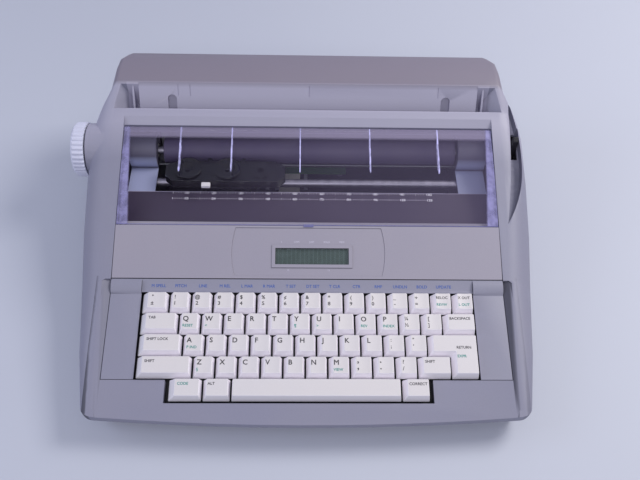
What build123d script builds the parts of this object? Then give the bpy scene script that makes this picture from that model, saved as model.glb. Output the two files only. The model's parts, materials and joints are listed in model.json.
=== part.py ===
from build123d import *
import math
import os

# Portable electronic daisy wheel typewriter with a one line display and a smoked dust cover.
# Millimetres, Z up from the table, X to the typist's right, Y to the back. The pieces are drawn about
# the middle of the keyboard with Y 0 at the rear edge of the top key row, and all of them are moved
# together at the end, so that the origin is the middle of the machine's box, on the table.

# Casing
wall = 2.5
front_y = -112.8
front_bow_radius = 2450.0
front_bow_sag = 6.4
rear_y = 243.0
foot_height = 5.0
parting_z = 24.0
arm_width = 35.0
side_bow_radius = 1090.0
side_bow_y = 110.0
front_corner = 13.0
rear_corner = 50.0
shoulder_radius = 26.0
pan_draft = 9.0
shell_step = 1.0

# Keyboard deck
deck_slope = 10.0
deck_rear_z = 50.0
cheek_start_y = -94.0
cheek_rise = 1.7
cheek_lead = 14.0
recess_run = 2.5
recess_height = 30.0
recess_reach = 10.5
recess_corner = 9.0

# Side view of the arms, the cross bar, the paper wall and the rear hump
bay_half = 173.0
seam = 0.4
panel_front_y = 11.7
panel_front_z = 55.1
panel_rear_y = 58.3
panel_rear_z = 71.0
cover_rear_y = 154.3
cover_rear_z = 97.7
bar_tip_y = 161.2
bar_rear_y = 168.7
arm_front_z = 55.6
arm_slope = 17.7
paper_wall_top_y = 188.5
paper_wall_top_z = 120.5
paper_wall_lean = 59.0
paper_wall_gap = 12.0
bar_depth = 13.7
chute_front_y = 160.6
chute_floor_z = 88.0
pocket_floor_z = 93.0
pocket_rear_y = 187.0
pocket_front_reach = 11.3
pocket_rear_reach = 4.8
pocket_toe = (-4.5, 181.5)
pocket_rib = 1.6
pocket_rib_gap = 5.5
hump_crown_z = 122.0
hump_crown_y = 204.0
hump_edge_z = 100.0
hump_reach = 10.0
hump_foot_z = 62.0
hump_corner = 28.0
hump_edge_radius = 6.0
hump_bulge = 1.0
notch_radius = 4.3
notch_drop = 11.7
notch_depth = 5.0
notch_places = (-130.0, 131.0)
mark_places = (-124.0, -112.6, 0.2, 123.3)
mark_width = 0.8
mark_depth = 0.5

# Keys, in units of one key pitch
pitch = 19.05
key_gap = 1.2
key_top_rise = 6.4
key_skirt_drop = 3.0
key_travel = 3.5
key_side_left = 3.6
key_side_right = 1.3
key_side_front = 3.0
key_side_rear = 0.9
key_end_flare = 6.0
key_corner = 0.9
key_dish_radius = 34.0
key_dish_depth = 0.45
stem_side = 5.6
stem_clearance = 0.3
key_field_units = 15.25
row_units = (1.25,) + (1.0,) * 14
tab_units = 1.75
backspace_units = 1.5
lock_units = 2.0
return_units = 2.25
return_foot_units = 1.25
left_shift_units = 2.5
right_shift_units = 1.5
bottom_row_start = 1.5
code_units = 1.5
alt_units = 1.25
space_units = 7.5
correct_units = 1.25
upper_row_count = 12
home_row_count = 11
lower_row_count = 10
key_plate_drop = 9.0
key_plate_thick = 2.6
dome_sheet_drop = 17.4
ear_gap = 13.0
ear_rows = (-72.0, -6.0)
dome_sheet_thick = 1.2
field_clearance = 0.6
slot_side_room = 2.8
slot_front_room = 1.4

# Platen, paper feed and line feed gears
platen_y = 148.0
platen_z = 70.0
platen_radius = 12.5
platen_gap_left = 35.0
platen_gap_right = 32.0
platen_shaft_radius = 4.0
running_fit = 0.06
knob_radius = 26.0
knob_standoff = 14.5
knob_width = 12.0
knob_ribs = 36
knob_rib_depth = 0.9
boss_radius = 25.0
boss_step = 1.0
boss_root_gap = 13.0
gear_module = 1.0
gear_width = 5.0
gear_gap = 21.0
platen_teeth = 28
idler_teeth = 22
pinion_teeth = 12
idler_angle = -70.0
pinion_angle = -20.0
feed_angle = -58.0
feed_radius = 5.0
feed_gap = 0.3
feed_shaft_radius = 2.0
feed_length = 26.0
feed_places = (-105.0, -38.0, 32.0, 104.0)
pan_gap = 1.5
pan_thick = 1.0
pan_start = 196.0
pan_end = 322.0
side_plate_gap = 25.0
hood_gap_left = 28.6
hood_gap_right = 30.0
side_plate_thick = 2.0
bush_radius = 7.0
shroud_radius = 17.0
shroud_wall = 1.4
shelf_front_y = 103.5
shelf_z = 62.0
motor_radius = 17.5
motor_depth = 13.6

# Print carriage
rail_y = 120.0
rail_z = 55.6
rail_radius = 4.0
rail_tube = 2.5
guide_front_y = 98.0
guide_rear_y = 108.0
guide_top_z = 22.0
guide_thick = 2.0
shoe_gap = 0.3
carriage_gap = 95.0
carriage_half = 23.0
cassette_half = 56.0
cassette_front_y = 104.5
cassette_rear_y = 129.5
cassette_floor_z = 67.0
cassette_depth = 10.0
wheel_radius = 29.0
wheel_z = 43.0
wheel_y = 131.2
wheel_thick = 1.0
wheel_spokes = 30
hammer_radius = 1.8
hammer_stroke = 2.5
hammer_drop = 2.4
reel_radius = 10.5
reel_width = 5.0
reel_spread = 12.5
reel_y = 92.0
reel_z = 45.5
pulley_radius = 8.0
pulley_height = 6.0
pulley_gap = 17.0
pulley_y = 86.0
pulley_z = 28.0
belt_thick = 1.3
belt_gap = 0.3

# Dust cover
cover_wall = 2.0
cover_arch = 2.2
cover_lip_depth = 4.5
cover_side_foot = ((84.8, 58.0), (138.0, 74.5), (151.6, 77.5))
cover_gap = 0.5
cover_clearance = 0.3
hinge_y = 151.6
hinge_radius = 2.5
hinge_pin_radius = 1.8
hinge_pin_reach = 2.4
rib_places = (-120.0, -72.0, -8.0, 57.5, 121.5)
rib_width = 1.4
rib_depth = 5.5
tab_width = 9.0
tab_reach = 2.0

# Display
panel_thick = 2.4
pad_half = 65.5
pad_step = 0.5
window_left = -29.5
window_right = 36.0
window_front = 24.5
window_rear = 38.5
bezel_margin = 3.2
bezel_drop = 0.8
window_drop = 0.3

# Electrics, feet, screws and the release lever
foot_radius = 9.0
foot_inset = 43.0
foot_front_y = -80.0
foot_rear_y = 205.0
screw_radius = 1.5
screw_head = 3.2
screw_head_deep = 2.4
screw_boss = 4.2
screw_grip = 4.6
screw_spots = ((37.0, -90.0), (18.0, 70.0), (30.0, 208.0))
board_z = 14.0
board_thick = 1.6
switch_x = 124.0
switch_z = 52.0
switch_half = 10.0
switch_tall = 7.0
inlet_x = -128.0
inlet_z = 38.0
inlet_radius = 7.0
lever_y = 148.0
lever_z = 62.0
lever_shaft_radius = 3.0
lever_reach = 25.0
lever_width = 4.4
lever_top_z = 93.5
scoop_front = (9.0, 61.6)
scoop_middle = (29.5, 140.0)
scoop_rear = (18.0, 187.0)
scoop_inner = (17.0, 128.0)
scoop_depth = 20.0
scoop_rear_z = 100.0

# Values that follow from the ones above
far = 400.0
side_half = bay_half + arm_width
paper_wall_half = bay_half - paper_wall_gap
hump_half = bay_half + hump_reach
ear_x = bay_half - ear_gap
platen_left = platen_gap_left - bay_half
platen_right = bay_half - platen_gap_right
knob_face_x = -side_half - knob_standoff
boss_reach = side_half + boss_step
boss_root = bay_half + boss_root_gap
gear_x = bay_half - gear_gap
side_plate_left = side_plate_gap - bay_half
side_plate_right = bay_half - side_plate_gap
carriage_x = carriage_gap - bay_half
pulley_x = bay_half - pulley_gap
foot_x = side_half - foot_inset
lever_x = bay_half + lever_reach
screw_places = [(side * (side_half - inset), y) for inset, y in screw_spots for side in (-1, 1)]
deck = Plane(
    origin=(0, 0, deck_rear_z),
    x_dir=(1, 0, 0),
    z_dir=(0, -math.sin(math.radians(deck_slope)), math.cos(math.radians(deck_slope))),
)
field_half = key_field_units * pitch / 2
arm_tangent = math.tan(math.radians(arm_slope))
lean_tangent = math.tan(math.radians(paper_wall_lean))
bar_top_z = arm_front_z + (bar_rear_y - panel_front_y) * arm_tangent
bar_tip_z = arm_front_z + (bar_tip_y - panel_front_y) * arm_tangent
platen_length = platen_right - platen_left
hinge_z = cover_rear_z - hinge_radius
side_reach = bay_half - 3.0
ledge_z = panel_rear_z - cover_lip_depth - cover_clearance
hammer_z = wheel_z + wheel_radius - hammer_drop
idler_distance = gear_module * (platen_teeth + idler_teeth) / 2
pinion_distance = gear_module * (idler_teeth + pinion_teeth) / 2
idler_y = platen_y + idler_distance * math.cos(math.radians(idler_angle))
idler_z = platen_z + idler_distance * math.sin(math.radians(idler_angle))
pinion_y = idler_y + pinion_distance * math.cos(math.radians(pinion_angle))
pinion_z = idler_z + pinion_distance * math.sin(math.radians(pinion_angle))
feed_distance = platen_radius + feed_radius + feed_gap
feed_y = platen_y + feed_distance * math.cos(math.radians(feed_angle))
feed_z = platen_z + feed_distance * math.sin(math.radians(feed_angle))


# Helpers that place flat outlines and turn them into solids


def deck_z(y):
    """Height of the keyboard deck above the table at a given Y."""
    return deck_rear_z + y * math.tan(math.radians(deck_slope))


def deck_y(units_from_rear):
    """Y of a line on the deck, counted in key rows from the rear edge."""
    return -units_from_rear * pitch * math.cos(math.radians(deck_slope))


def side_outline(*points):
    """Flat face from (Y, Z) points, to be extruded along X."""
    return make_face(Polyline(*points, close=True))


def along_x(face, x_from, x_to):
    return extrude(Plane.YZ.offset(x_from) * face, amount=x_to - x_from)


def rod_x(radius, x_from, x_to, y, z):
    return along_x(Pos(y, z) * Circle(radius), x_from, x_to)


def tube_x(outer, inner, x_from, x_to, y, z):
    return along_x(Pos(y, z) * (Circle(outer) - Circle(inner)), x_from, x_to)


def rod_y(radius, y_from, y_to, x, z):
    return extrude(Plane.XZ.offset(-y_from) * Pos(x, z) * Circle(radius), amount=y_from - y_to)


def rod_z(radius, z_from, z_to, x, y):
    return extrude(Plane.XY.offset(z_from) * Pos(x, y) * Circle(radius), amount=z_to - z_from)


def block(x_from, x_to, y_from, y_to, z_from, z_to):
    size = (x_to - x_from, y_to - y_from, z_to - z_from)
    middle = ((x_from + x_to) / 2, (y_from + y_to) / 2, (z_from + z_to) / 2)
    return Pos(*middle) * Box(*size)


def grown(points, amount):
    """Face of a closed outline of corner points, every side moved outwards by the amount."""
    pairs = list(zip(points, points[1:] + points[:1]))
    turn = 1 if sum(a[0] * b[1] - b[0] * a[1] for a, b in pairs) > 0 else -1
    normals = []
    for (ax, ay), (bx, by) in pairs:
        long = math.hypot(bx - ax, by - ay)
        normals.append((turn * (by - ay) / long, turn * (ax - bx) / long))
    moved = []
    for (x, y), (ax, ay), (bx, by) in zip(points, normals[-1:] + normals[:-1], normals):
        reach = amount / (1 + ax * bx + ay * by)
        moved.append((x + reach * (ax + bx), y + reach * (ay + by)))
    return make_face(Polyline(*moved, close=True))


# Casing


def bow_half(y):
    """Half the width of the machine at a given Y, from the gentle bow of its sides."""
    return side_half - side_bow_radius + math.sqrt(side_bow_radius**2 - (y - side_bow_y) ** 2)


ridge_points = (
    (front_y, deck_z(front_y) + 0.3),
    (cheek_start_y - cheek_lead / 2, deck_z(cheek_start_y - cheek_lead / 2) + 0.6 * cheek_rise),
    (cheek_start_y, deck_z(cheek_start_y) + cheek_rise),
    (panel_front_y, arm_front_z),
    (bar_rear_y, bar_top_z),
    (paper_wall_top_y, paper_wall_top_z),
    (hump_crown_y, hump_crown_z),
    (rear_y - 22.0, hump_crown_z - 1.5),
    (rear_y - 10.0, hump_crown_z - 6.0),
    (rear_y - 3.5, hump_crown_z - 13.0),
    (rear_y, hump_edge_z),
)


def ridge_z(y):
    """Top of the casing's sides at a given Y."""
    for (y_low, z_low), (y_high, z_high) in zip(ridge_points, ridge_points[1:]):
        if y <= y_high:
            return z_low + (z_high - z_low) * (y - y_low) / (y_high - y_low)
    return ridge_points[-1][1]


def corner_pull(distance, radius):
    """How far a round plan corner pulls the side in, at a distance from the end."""
    if distance >= radius:
        return 0.0
    return radius - math.sqrt(radius**2 - (radius - distance) ** 2)


def ridge_half(y):
    """Half the width between the ridges of the rear hump, with its round plan corners."""
    return hump_half - corner_pull(rear_y - y, hump_corner)


def side_at(y, inset):
    """Half the width of the casing's section, with the round rear corners."""
    return bow_half(y) - inset - corner_pull(rear_y - inset - y, rear_corner - inset)


def round_shoulder(top):
    """Five points of a quarter round: distance in from the side, drop below the top and normal's angle."""
    radius = min(shoulder_radius, 0.8 * (top - parting_z))
    turns = [math.radians(a) for a in (0, 22.5, 45, 67.5, 90)]
    return [(radius * (1 - math.sin(a)), radius * (1 - math.cos(a)), a) for a in turns]


def leaning_end(y, top):
    """The same five points where the hump's end leans in, with a small round at its ridge."""
    pull = max(side_at(y, 0) - ridge_half(y), 4.0)
    drop = top - hump_foot_z
    lean = math.atan2(pull, drop)
    turn = (math.pi / 2 - lean) / 2
    radius = hump_edge_radius
    run = radius * math.tan(turn)
    low_x, low_z = pull - run * math.sin(lean), run * math.cos(lean)
    return [
        (pull + run, 0.0, 0.0),
        (pull + run - radius * math.sin(turn), radius - radius * math.cos(turn), turn),
        (low_x, low_z, 2 * turn),
        (low_x / 2 - hump_bulge * math.cos(lean), (low_z + drop) / 2 - hump_bulge * math.sin(lean), 2 * turn),
        (0.0, drop, math.pi / 2),
    ]


def shoulder(y, inset):
    """Five (X, Z) points of the right shoulder, from the flat top round to the upright side."""
    top = ridge_z(y)
    share = (y - cover_rear_y) / (paper_wall_top_y - cover_rear_y)
    share = min(max(share, 0.0), 1.0) ** 2
    half = side_at(y, 0)
    points = []
    for soft, hard in zip(round_shoulder(top), leaning_end(y, top)):
        pull, drop, angle = [a + (b - a) * share for a, b in zip(soft, hard)]
        points.append((half - pull - inset * math.sin(angle), top - drop - inset * math.cos(angle)))
    return points


def case_section(y, inset):
    base = parting_z - inset
    right = shoulder(y, inset)
    right[-1] = (side_at(y, inset), right[-1][1])
    left = [(-x, z) for x, z in right]
    outline = [
        Line(left[0], right[0]),
        ThreePointArc(*right[0:3]),
        ThreePointArc(*right[2:5]),
        Line(right[4], (right[4][0], base)),
        Line((right[4][0], base), (left[4][0], base)),
        Line((left[4][0], base), left[4]),
        ThreePointArc(left[4], left[3], left[2]),
        ThreePointArc(left[2], left[1], left[0]),
    ]
    return Plane.XZ.offset(-y) * Face(Wire(outline))


def case_stations(inset):
    """Y values of the sections: the rear corners' quarter turns, then the bends of the side view."""
    low, high = front_y + inset, rear_y - inset
    turns = [math.radians(a) for a in (0, 14, 28, 42, 56, 72)]
    stations = [low] + [high - (rear_corner - inset) * (1 - math.cos(a)) for a in turns]
    bends = [y for y, _ in ridge_points] + [cover_rear_y, 178.0, 196.0, -50.0, 60.0, 110.0]
    stations += [y for y in bends if low < y < high and all(abs(y - s) > 2.0 for s in stations)]
    return sorted(stations)


def front_arc(inset):
    """Bowed front edge between the casing's sides, as its three points."""
    low = front_y + inset
    half = bow_half(low + front_bow_sag) - inset
    ends_y = low + front_bow_radius - math.sqrt(front_bow_radius**2 - half**2)
    return (-half, ends_y), (0, low), (half, ends_y)


def front_plan(inset):
    """Plan that cuts the casing's front to its bow and its round corners."""
    left, middle, right = front_arc(inset)
    hook_y = right[1] + front_corner
    slope = (side_bow_y - hook_y) / (side_bow_radius - side_half + bow_half(hook_y))
    foot = bow_half(hook_y) - inset - slope * (hook_y - right[1])
    head = foot + slope * (far - right[1])
    arc = ThreePointArc((-foot, right[1]), middle, (foot, right[1]))
    face = make_face(arc + Polyline((foot, right[1]), (head, far), (-head, far), (-foot, right[1])))
    corners = [v for v in face.vertices() if v.Y < 0]
    return extrude(Plane.XY.offset(-1) * fillet(corners, front_corner - inset), amount=far)


def case_form(inset):
    body = loft([case_section(y, inset) for y in case_stations(inset)], ruled=True)
    return body & front_plan(inset)


def deck_recess(grow):
    """Room above the keyboard deck, with sides that slope up to the cheeks."""
    cross = Plane(
        origin=deck.from_local_coords((0, -150, 0)),
        x_dir=(1, 0, 0),
        z_dir=-deck.y_dir,
    )
    half = bay_half
    top = half + recess_run * recess_height
    points = [(-half, 0), (half, 0), (top, recess_height), (-top, recess_height)]
    length = 150 + panel_front_y / math.cos(math.radians(deck_slope)) + grow
    trough = extrude(cross * grown(points, grow), amount=-length)
    end = half + recess_reach + grow
    plan = rounded(-end, end, -far, panel_front_y + grow, recess_corner + grow)
    return trough & extrude(plan, amount=far)


def bay_opening(grow):
    """The through opening that the keyboard frame, display panel and dust cover fill."""
    half = bay_half + seam + grow
    return block(-half, half, deck_y(4.05) - grow, cover_rear_y + cover_gap + grow, -far, far)


def bottom_row_slot(grow):
    left = bottom_row_start * pitch - field_half - slot_side_room - grow
    right_units = bottom_row_start + code_units + alt_units + space_units + correct_units
    right = right_units * pitch - field_half + slot_side_room + grow
    return block(left, right, deck_y(5) - slot_front_room - grow, deck_y(4) + grow, -far, far)


def bar_bevel(grow):
    """Slope in front of the cross bar, down to the dust cover's rear edge."""
    points = [
        (cover_rear_y, far),
        (cover_rear_y, cover_rear_z),
        (cover_rear_y + cover_gap, cover_rear_z),
        (bar_tip_y, bar_tip_z),
        (bar_tip_y, far),
    ]
    half = bay_half + seam + grow
    return along_x(grown(points, grow), -half, half)


def paper_chute(grow):
    """Slot behind the cross bar and the leaning wall that holds the paper."""
    wall_foot_y = paper_wall_top_y - (paper_wall_top_z - chute_floor_z) / lean_tangent
    points = [
        (bar_rear_y, far),
        (bar_rear_y, bar_top_z),
        (bar_rear_y - bar_depth / lean_tangent, bar_top_z - bar_depth),
        (chute_front_y, -far),
        (wall_foot_y, -far),
        (wall_foot_y, chute_floor_z),
        (paper_wall_top_y, paper_wall_top_z),
        (paper_wall_top_y, far),
    ]
    half = paper_wall_half + grow
    return along_x(grown(points, grow), -half, half)


def pocket_end(side, grow):
    """The space inside the sloping end of a pocket."""
    front = Vector(side * (bay_half + pocket_front_reach), bar_rear_y, bar_top_z)
    rear = Vector(side * (bay_half + pocket_rear_reach), pocket_rear_y, paper_wall_top_z)
    toe = Vector(side * (bay_half + pocket_toe[0]), pocket_toe[1], pocket_floor_z)
    normal = (rear - front).cross(toe - front) * side
    return extrude(Plane(origin=front, z_dir=normal).offset(-grow) * Rectangle(far, far), amount=far)


def end_pockets(grow):
    """Recess at each end of the paper wall."""
    pockets = []
    outer = bay_half + pocket_front_reach + grow
    for side in (-1, 1):
        low, high = sorted((side * (paper_wall_half - grow), side * outer))
        room = block(low, high, bar_rear_y - grow, pocket_rear_y + grow, pocket_floor_z - grow, far)
        pockets.append(room & pocket_end(side, grow))
    return pockets


def wall_notches(grow):
    """Arched grooves low in the paper wall."""
    lean = math.radians(paper_wall_lean)
    wall_face = Plane(
        origin=(0, paper_wall_top_y, paper_wall_top_z),
        x_dir=(1, 0, 0),
        z_dir=(0, -math.sin(lean), math.cos(lean)),
    )
    foot = (paper_wall_top_z - chute_floor_z) / math.sin(lean) + grow
    centre = notch_drop + notch_radius
    radius = notch_radius + grow
    depth = notch_depth + grow
    notches = []
    for x in notch_places:
        arch = Pos(x, -centre) * Circle(radius)
        arch += Pos(x, -(centre + foot) / 2) * Rectangle(2 * radius, foot - centre)
        notches.append(extrude(wall_face.offset(-depth) * arch, amount=depth + 4))
    return notches


def lever_scoop(grow):
    """Crescent hollow in the right shoulder, round the paper release lever."""
    front, middle, rear, inner = [
        (bay_half + x, y) for x, y in (scoop_front, scoop_middle, scoop_rear, scoop_inner)
    ]
    plan = make_face(ThreePointArc(front, middle, rear) + ThreePointArc(rear, inner, front))
    y_front, y_rear = front[1], rear[1]
    y_mid = (y_front + y_rear) / 2
    dip = make_face(
        ThreePointArc((y_front, ridge_z(y_front)), (y_mid, ridge_z(y_mid) - scoop_depth), (y_rear, scoop_rear_z))
        + Polyline((y_rear, scoop_rear_z), (y_rear, far), (y_front, far), (y_front, ridge_z(y_front)))
    )
    column = extrude(offset(plan, grow) if grow else plan, amount=far)
    return column & along_x(Pos(0, -grow) * dip, bay_half, far)


def wells(grow):
    """Everything that is open from above, grown by a wall for the inside."""
    return [
        deck_recess(grow),
        bay_opening(grow),
        bottom_row_slot(grow),
        bar_bevel(grow),
        paper_chute(grow),
        *end_pockets(grow),
        *wall_notches(grow),
        lever_scoop(grow),
    ]


def inner_room():
    """Space kept free of the wells' walls: under the keyboard, and round the mechanism."""
    half = bay_half + seam
    under_deck = side_outline(
        (front_y + 8, parting_z - wall),
        (front_y + 8, deck_z(front_y + 8) - 7),
        (panel_front_y, deck_z(panel_front_y) - 7),
        (panel_front_y, chute_floor_z),
        (rear_y - 60, chute_floor_z),
        (rear_y - 60, parting_z - wall),
    )
    return along_x(under_deck, -half, half)


def knob_boss(grow):
    return rod_x(boss_radius - grow, grow - boss_reach, -boss_root, platen_y, platen_z)


def upper_case():
    outer = case_form(0) + knob_boss(0)
    outer -= wells(0)
    inner = case_form(wall) + knob_boss(wall)
    inner -= wells(wall)
    shell = outer - inner - inner_room()
    posts = [rod_z(screw_boss, parting_z, far, x, y) & outer for x, y in screw_places]
    shell += posts
    shell -= [rod_z(screw_radius, parting_z - 1, parting_z + screw_grip + 0.5, x, y) for x, y in screw_places]
    shell += pocket_gussets()
    shell -= paper_marks()
    shell -= rod_x(platen_shaft_radius + 1, -far, -boss_root, platen_y, platen_z)
    shell -= rod_x(platen_shaft_radius + 3, -boss_root, -bay_half, platen_y, platen_z)
    for side in (-1, 1):
        shell -= rod_x(hinge_pin_radius + running_fit, side * bay_half, side * (bay_half + 6), hinge_y, hinge_z)
    shell -= rod_x(lever_shaft_radius + running_fit, bay_half - 1, bay_half + 6, lever_y, lever_z)
    shell -= block(lever_x - 3.4, lever_x + 3.4, lever_y - 12, lever_y + 12, lever_z, far)
    shell -= block(
        switch_x - switch_half, switch_x + switch_half, rear_y - 8, rear_y + 1, switch_z - switch_tall, switch_z + switch_tall
    )
    shell -= rod_y(inlet_radius, rear_y - 8, rear_y + 1, inlet_x, inlet_z)
    return shell


def pocket_gussets():
    face = side_outline(
        (bar_rear_y + 3, pocket_floor_z), (pocket_rear_y, pocket_floor_z), (pocket_rear_y, paper_wall_top_z - 3)
    )
    middle = paper_wall_half + pocket_rib_gap
    return [along_x(face, x - pocket_rib / 2, x + pocket_rib / 2) for x in (-middle, middle)]


def paper_marks():
    """Fine paper edge marks engraved near the top of the paper wall."""
    foot = 11.0
    face = side_outline(
        (paper_wall_top_y - foot / lean_tangent - 2, paper_wall_top_z - foot),
        (paper_wall_top_y - foot / lean_tangent + mark_depth, paper_wall_top_z - foot),
        (paper_wall_top_y - 2 / lean_tangent + mark_depth, paper_wall_top_z - 2),
        (paper_wall_top_y - 2 / lean_tangent - 2, paper_wall_top_z - 2),
    )
    return [along_x(face, x - mark_width / 2, x + mark_width / 2) for x in mark_places]


def plan_outline(inset):
    """Plan of the casing with its bowed sides and round corners."""
    high = rear_y - inset
    front = front_arc(inset)
    right = ThreePointArc(front[2], (side_half - inset, side_bow_y), (bow_half(high) - inset, high))
    left = mirror(right, about=Plane.YZ)
    ends = ThreePointArc(*front) + Line((-bow_half(high) + inset, high), (bow_half(high) - inset, high))
    face = make_face(right + left + ends)
    front = [v for v in face.vertices() if v.Y < 0]
    face = fillet(front, front_corner - inset)
    rear = [v for v in face.vertices() if v.Y > high - 1]
    return fillet(rear, rear_corner - inset)


def pan_form(inset):
    bottom = Plane.XY.offset(foot_height + inset) * plan_outline(pan_draft + inset)
    top = Plane.XY.offset(parting_z + (1 if inset else 0)) * plan_outline(shell_step + inset)
    return loft([bottom, top], ruled=True)


def lower_case():
    pan = pan_form(0) - pan_form(wall)
    top = parting_z
    posts = [rod_z(screw_boss + 1.6, foot_height + 1, top, x, y) for x, y in screw_places]
    pan += [post & pan_form(0) for post in posts]
    for x, y in screw_places:
        pan -= rod_z(screw_radius + 0.1, foot_height - 1, top + 1, x, y)
        pan -= rod_z(screw_head + 0.4, foot_height - 1, foot_height + 8, x, y)
    slots = []
    for row in range(2):
        for k in range(9):
            slots.append(block(-84 + k * 10, -80 + k * 10, 150 + row * 34, 176 + row * 34, 0, foot_height + 4))
    pan -= slots
    for x, y in board_posts():
        pan += rod_z(3.0, foot_height + 1, board_z, x, y)
    return pan + keyboard_pillars() + pulley_post()


def board_posts():
    return [(x, y) for x in (-134.0, 34.0) for y in (172.0, 226.0)]


def keyboard_pillars():
    """Four pillars of the pan that carry the key plate by its ears."""
    base = block(-far, far, -far, far, foot_height + 1, far)
    under = -key_plate_drop - key_plate_thick
    pillars = []
    for x in (-ear_x, ear_x):
        for y in ear_rows:
            pillar = deck * block(x - 4, x + 4, y - 4, y + 4, -far, under)
            pillars.append(pillar & base)
    return pillars


# Keyboard


def key_x(units_from_left):
    """X of a line between two keys, counted in key pitches from the left end of the field."""
    return units_from_left * pitch - field_half


def key_base(left, right, row):
    """Low corner and size of a keycap's skirt on the deck, with its gap to the neighbours."""
    return (
        key_x(left) + key_gap / 2,
        key_x(right) - key_gap / 2,
        -(row + 1) * pitch + key_gap / 2,
        -row * pitch - key_gap / 2,
    )


def rounded(x_low, x_high, y_low, y_high, radius):
    middle = Pos((x_low + x_high) / 2, (y_low + y_high) / 2)
    return middle * RectangleRounded(x_high - x_low, y_high - y_low, radius)


def key_frustum(left, right, row, left_flare, right_flare):
    x_low, x_high, y_low, y_high = key_base(left, right, row)
    foot = rounded(x_low, x_high, y_low, y_high, key_corner)
    head = rounded(
        x_low + left_flare, x_high - right_flare, y_low + key_side_front, y_high - key_side_rear, key_corner
    )
    return loft([Pos(0, 0, -key_skirt_drop) * foot, Pos(0, 0, key_top_rise) * head], ruled=True)


def key_stem(x, y):
    tall = key_plate_drop + key_plate_thick + 1.5 - key_skirt_drop
    return Pos(x, y, -key_skirt_drop - tall / 2) * Box(stem_side, stem_side, tall)


def stem_places(left, right, row):
    """One stem in the middle of a key, and two on the space bar."""
    y = -(row + 0.5) * pitch
    if right - left > 4:
        return [(key_x(left + 1), y), (key_x(right - 1), y)]
    return [(key_x((left + right) / 2), y)]


def keycap(left, right, row, flare=key_side_left, side=key_side_right, dished=True):
    cap = key_frustum(left, right, row, flare, side)
    if dished:
        x = (key_x(left) + flare + key_x(right) - side) / 2
        y = -(row + 0.5) * pitch
        axis = Pos(x, y, key_top_rise - key_dish_depth + key_dish_radius)
        cap -= axis * Rot(90, 0, 0) * Cylinder(key_dish_radius, pitch)
    return cap + [key_stem(*place) for place in stem_places(left, right, row)]


def key_row(start, count, row):
    """Separate one unit keys side by side."""
    return [keycap(start + k, start + k + 1, row) for k in range(count)]


def return_key():
    """Return key two rows tall, with a notch at its lower left."""
    top = key_frustum(key_field_units - return_units, key_field_units, 2, key_side_left, key_side_right)
    left = key_field_units - return_foot_units
    x_low, x_high, y_low, _ = key_base(left, key_field_units, 3)
    y_high = key_base(left, key_field_units, 2)[3]
    foot = rounded(x_low, x_high, y_low, y_high, key_corner)
    head = rounded(
        x_low + key_side_left, x_high - key_side_right, y_low + key_side_front, y_high - key_side_rear, key_corner
    )
    leg = loft([Pos(0, 0, -key_skirt_drop) * foot, Pos(0, 0, key_top_rise) * head], ruled=True)
    stem = stem_places(left, key_field_units, 2)[0]
    return top + leg + key_stem(*stem)


def single_keys():
    """Keys that have a node of their own: left edge, right edge and row, then the flares."""
    end = key_field_units
    code_end = bottom_row_start + code_units
    alt_end = code_end + alt_units
    space_end = alt_end + space_units
    return {
        "tab_key": keycap(0, tab_units, 1, key_end_flare, dished=False),
        "backspace_key": keycap(end - backspace_units, end, 1, dished=False),
        "shift_lock_key": keycap(0, lock_units, 2, key_end_flare, dished=False),
        "left_shift_key": keycap(0, left_shift_units, 3, key_end_flare, dished=False),
        "right_shift_key": keycap(
            end - return_foot_units - right_shift_units, end - return_foot_units, 3, dished=False
        ),
        "return_key": return_key(),
        "code_key": keycap(bottom_row_start, code_end, 4, key_end_flare, dished=False),
        "alt_key": keycap(code_end, alt_end, 4, dished=False),
        "space_bar": keycap(alt_end, space_end, 4, key_side_right, dished=False),
        "correct_key": keycap(space_end, space_end + correct_units, 4, dished=False),
    }


def key_groups():
    """Rows of alike keys: each row is one node of separate solids."""
    number_row = [keycap(0, row_units[0], 0, key_end_flare)]
    number_row += key_row(row_units[0], len(row_units) - 1, 0)
    return {
        "number_keys": number_row,
        "upper_letter_keys": key_row(tab_units, upper_row_count, 1),
        "home_letter_keys": key_row(lock_units, home_row_count, 2),
        "lower_letter_keys": key_row(left_shift_units, lower_row_count, 3),
    }


def all_stems():
    """Places of every key stem on the deck."""
    end = key_field_units
    code_end = bottom_row_start + code_units
    alt_end = code_end + alt_units
    space_end = alt_end + space_units
    spans = [(0, row_units[0], 0)]
    spans += [(row_units[0] + k, row_units[0] + k + 1, 0) for k in range(len(row_units) - 1)]
    spans += [(0, tab_units, 1), (end - backspace_units, end, 1)]
    spans += [(tab_units + k, tab_units + k + 1, 1) for k in range(upper_row_count)]
    spans += [(0, lock_units, 2), (end - return_foot_units, end, 2)]
    spans += [(lock_units + k, lock_units + k + 1, 2) for k in range(home_row_count)]
    spans += [(0, left_shift_units, 3), (end - return_foot_units - right_shift_units, end - return_foot_units, 3)]
    spans += [(left_shift_units + k, left_shift_units + k + 1, 3) for k in range(lower_row_count)]
    spans += [(bottom_row_start, code_end, 4), (code_end, alt_end, 4)]
    spans += [(alt_end, space_end, 4), (space_end, space_end + correct_units, 4)]
    return [place for span in spans for place in stem_places(*span)]


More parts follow.
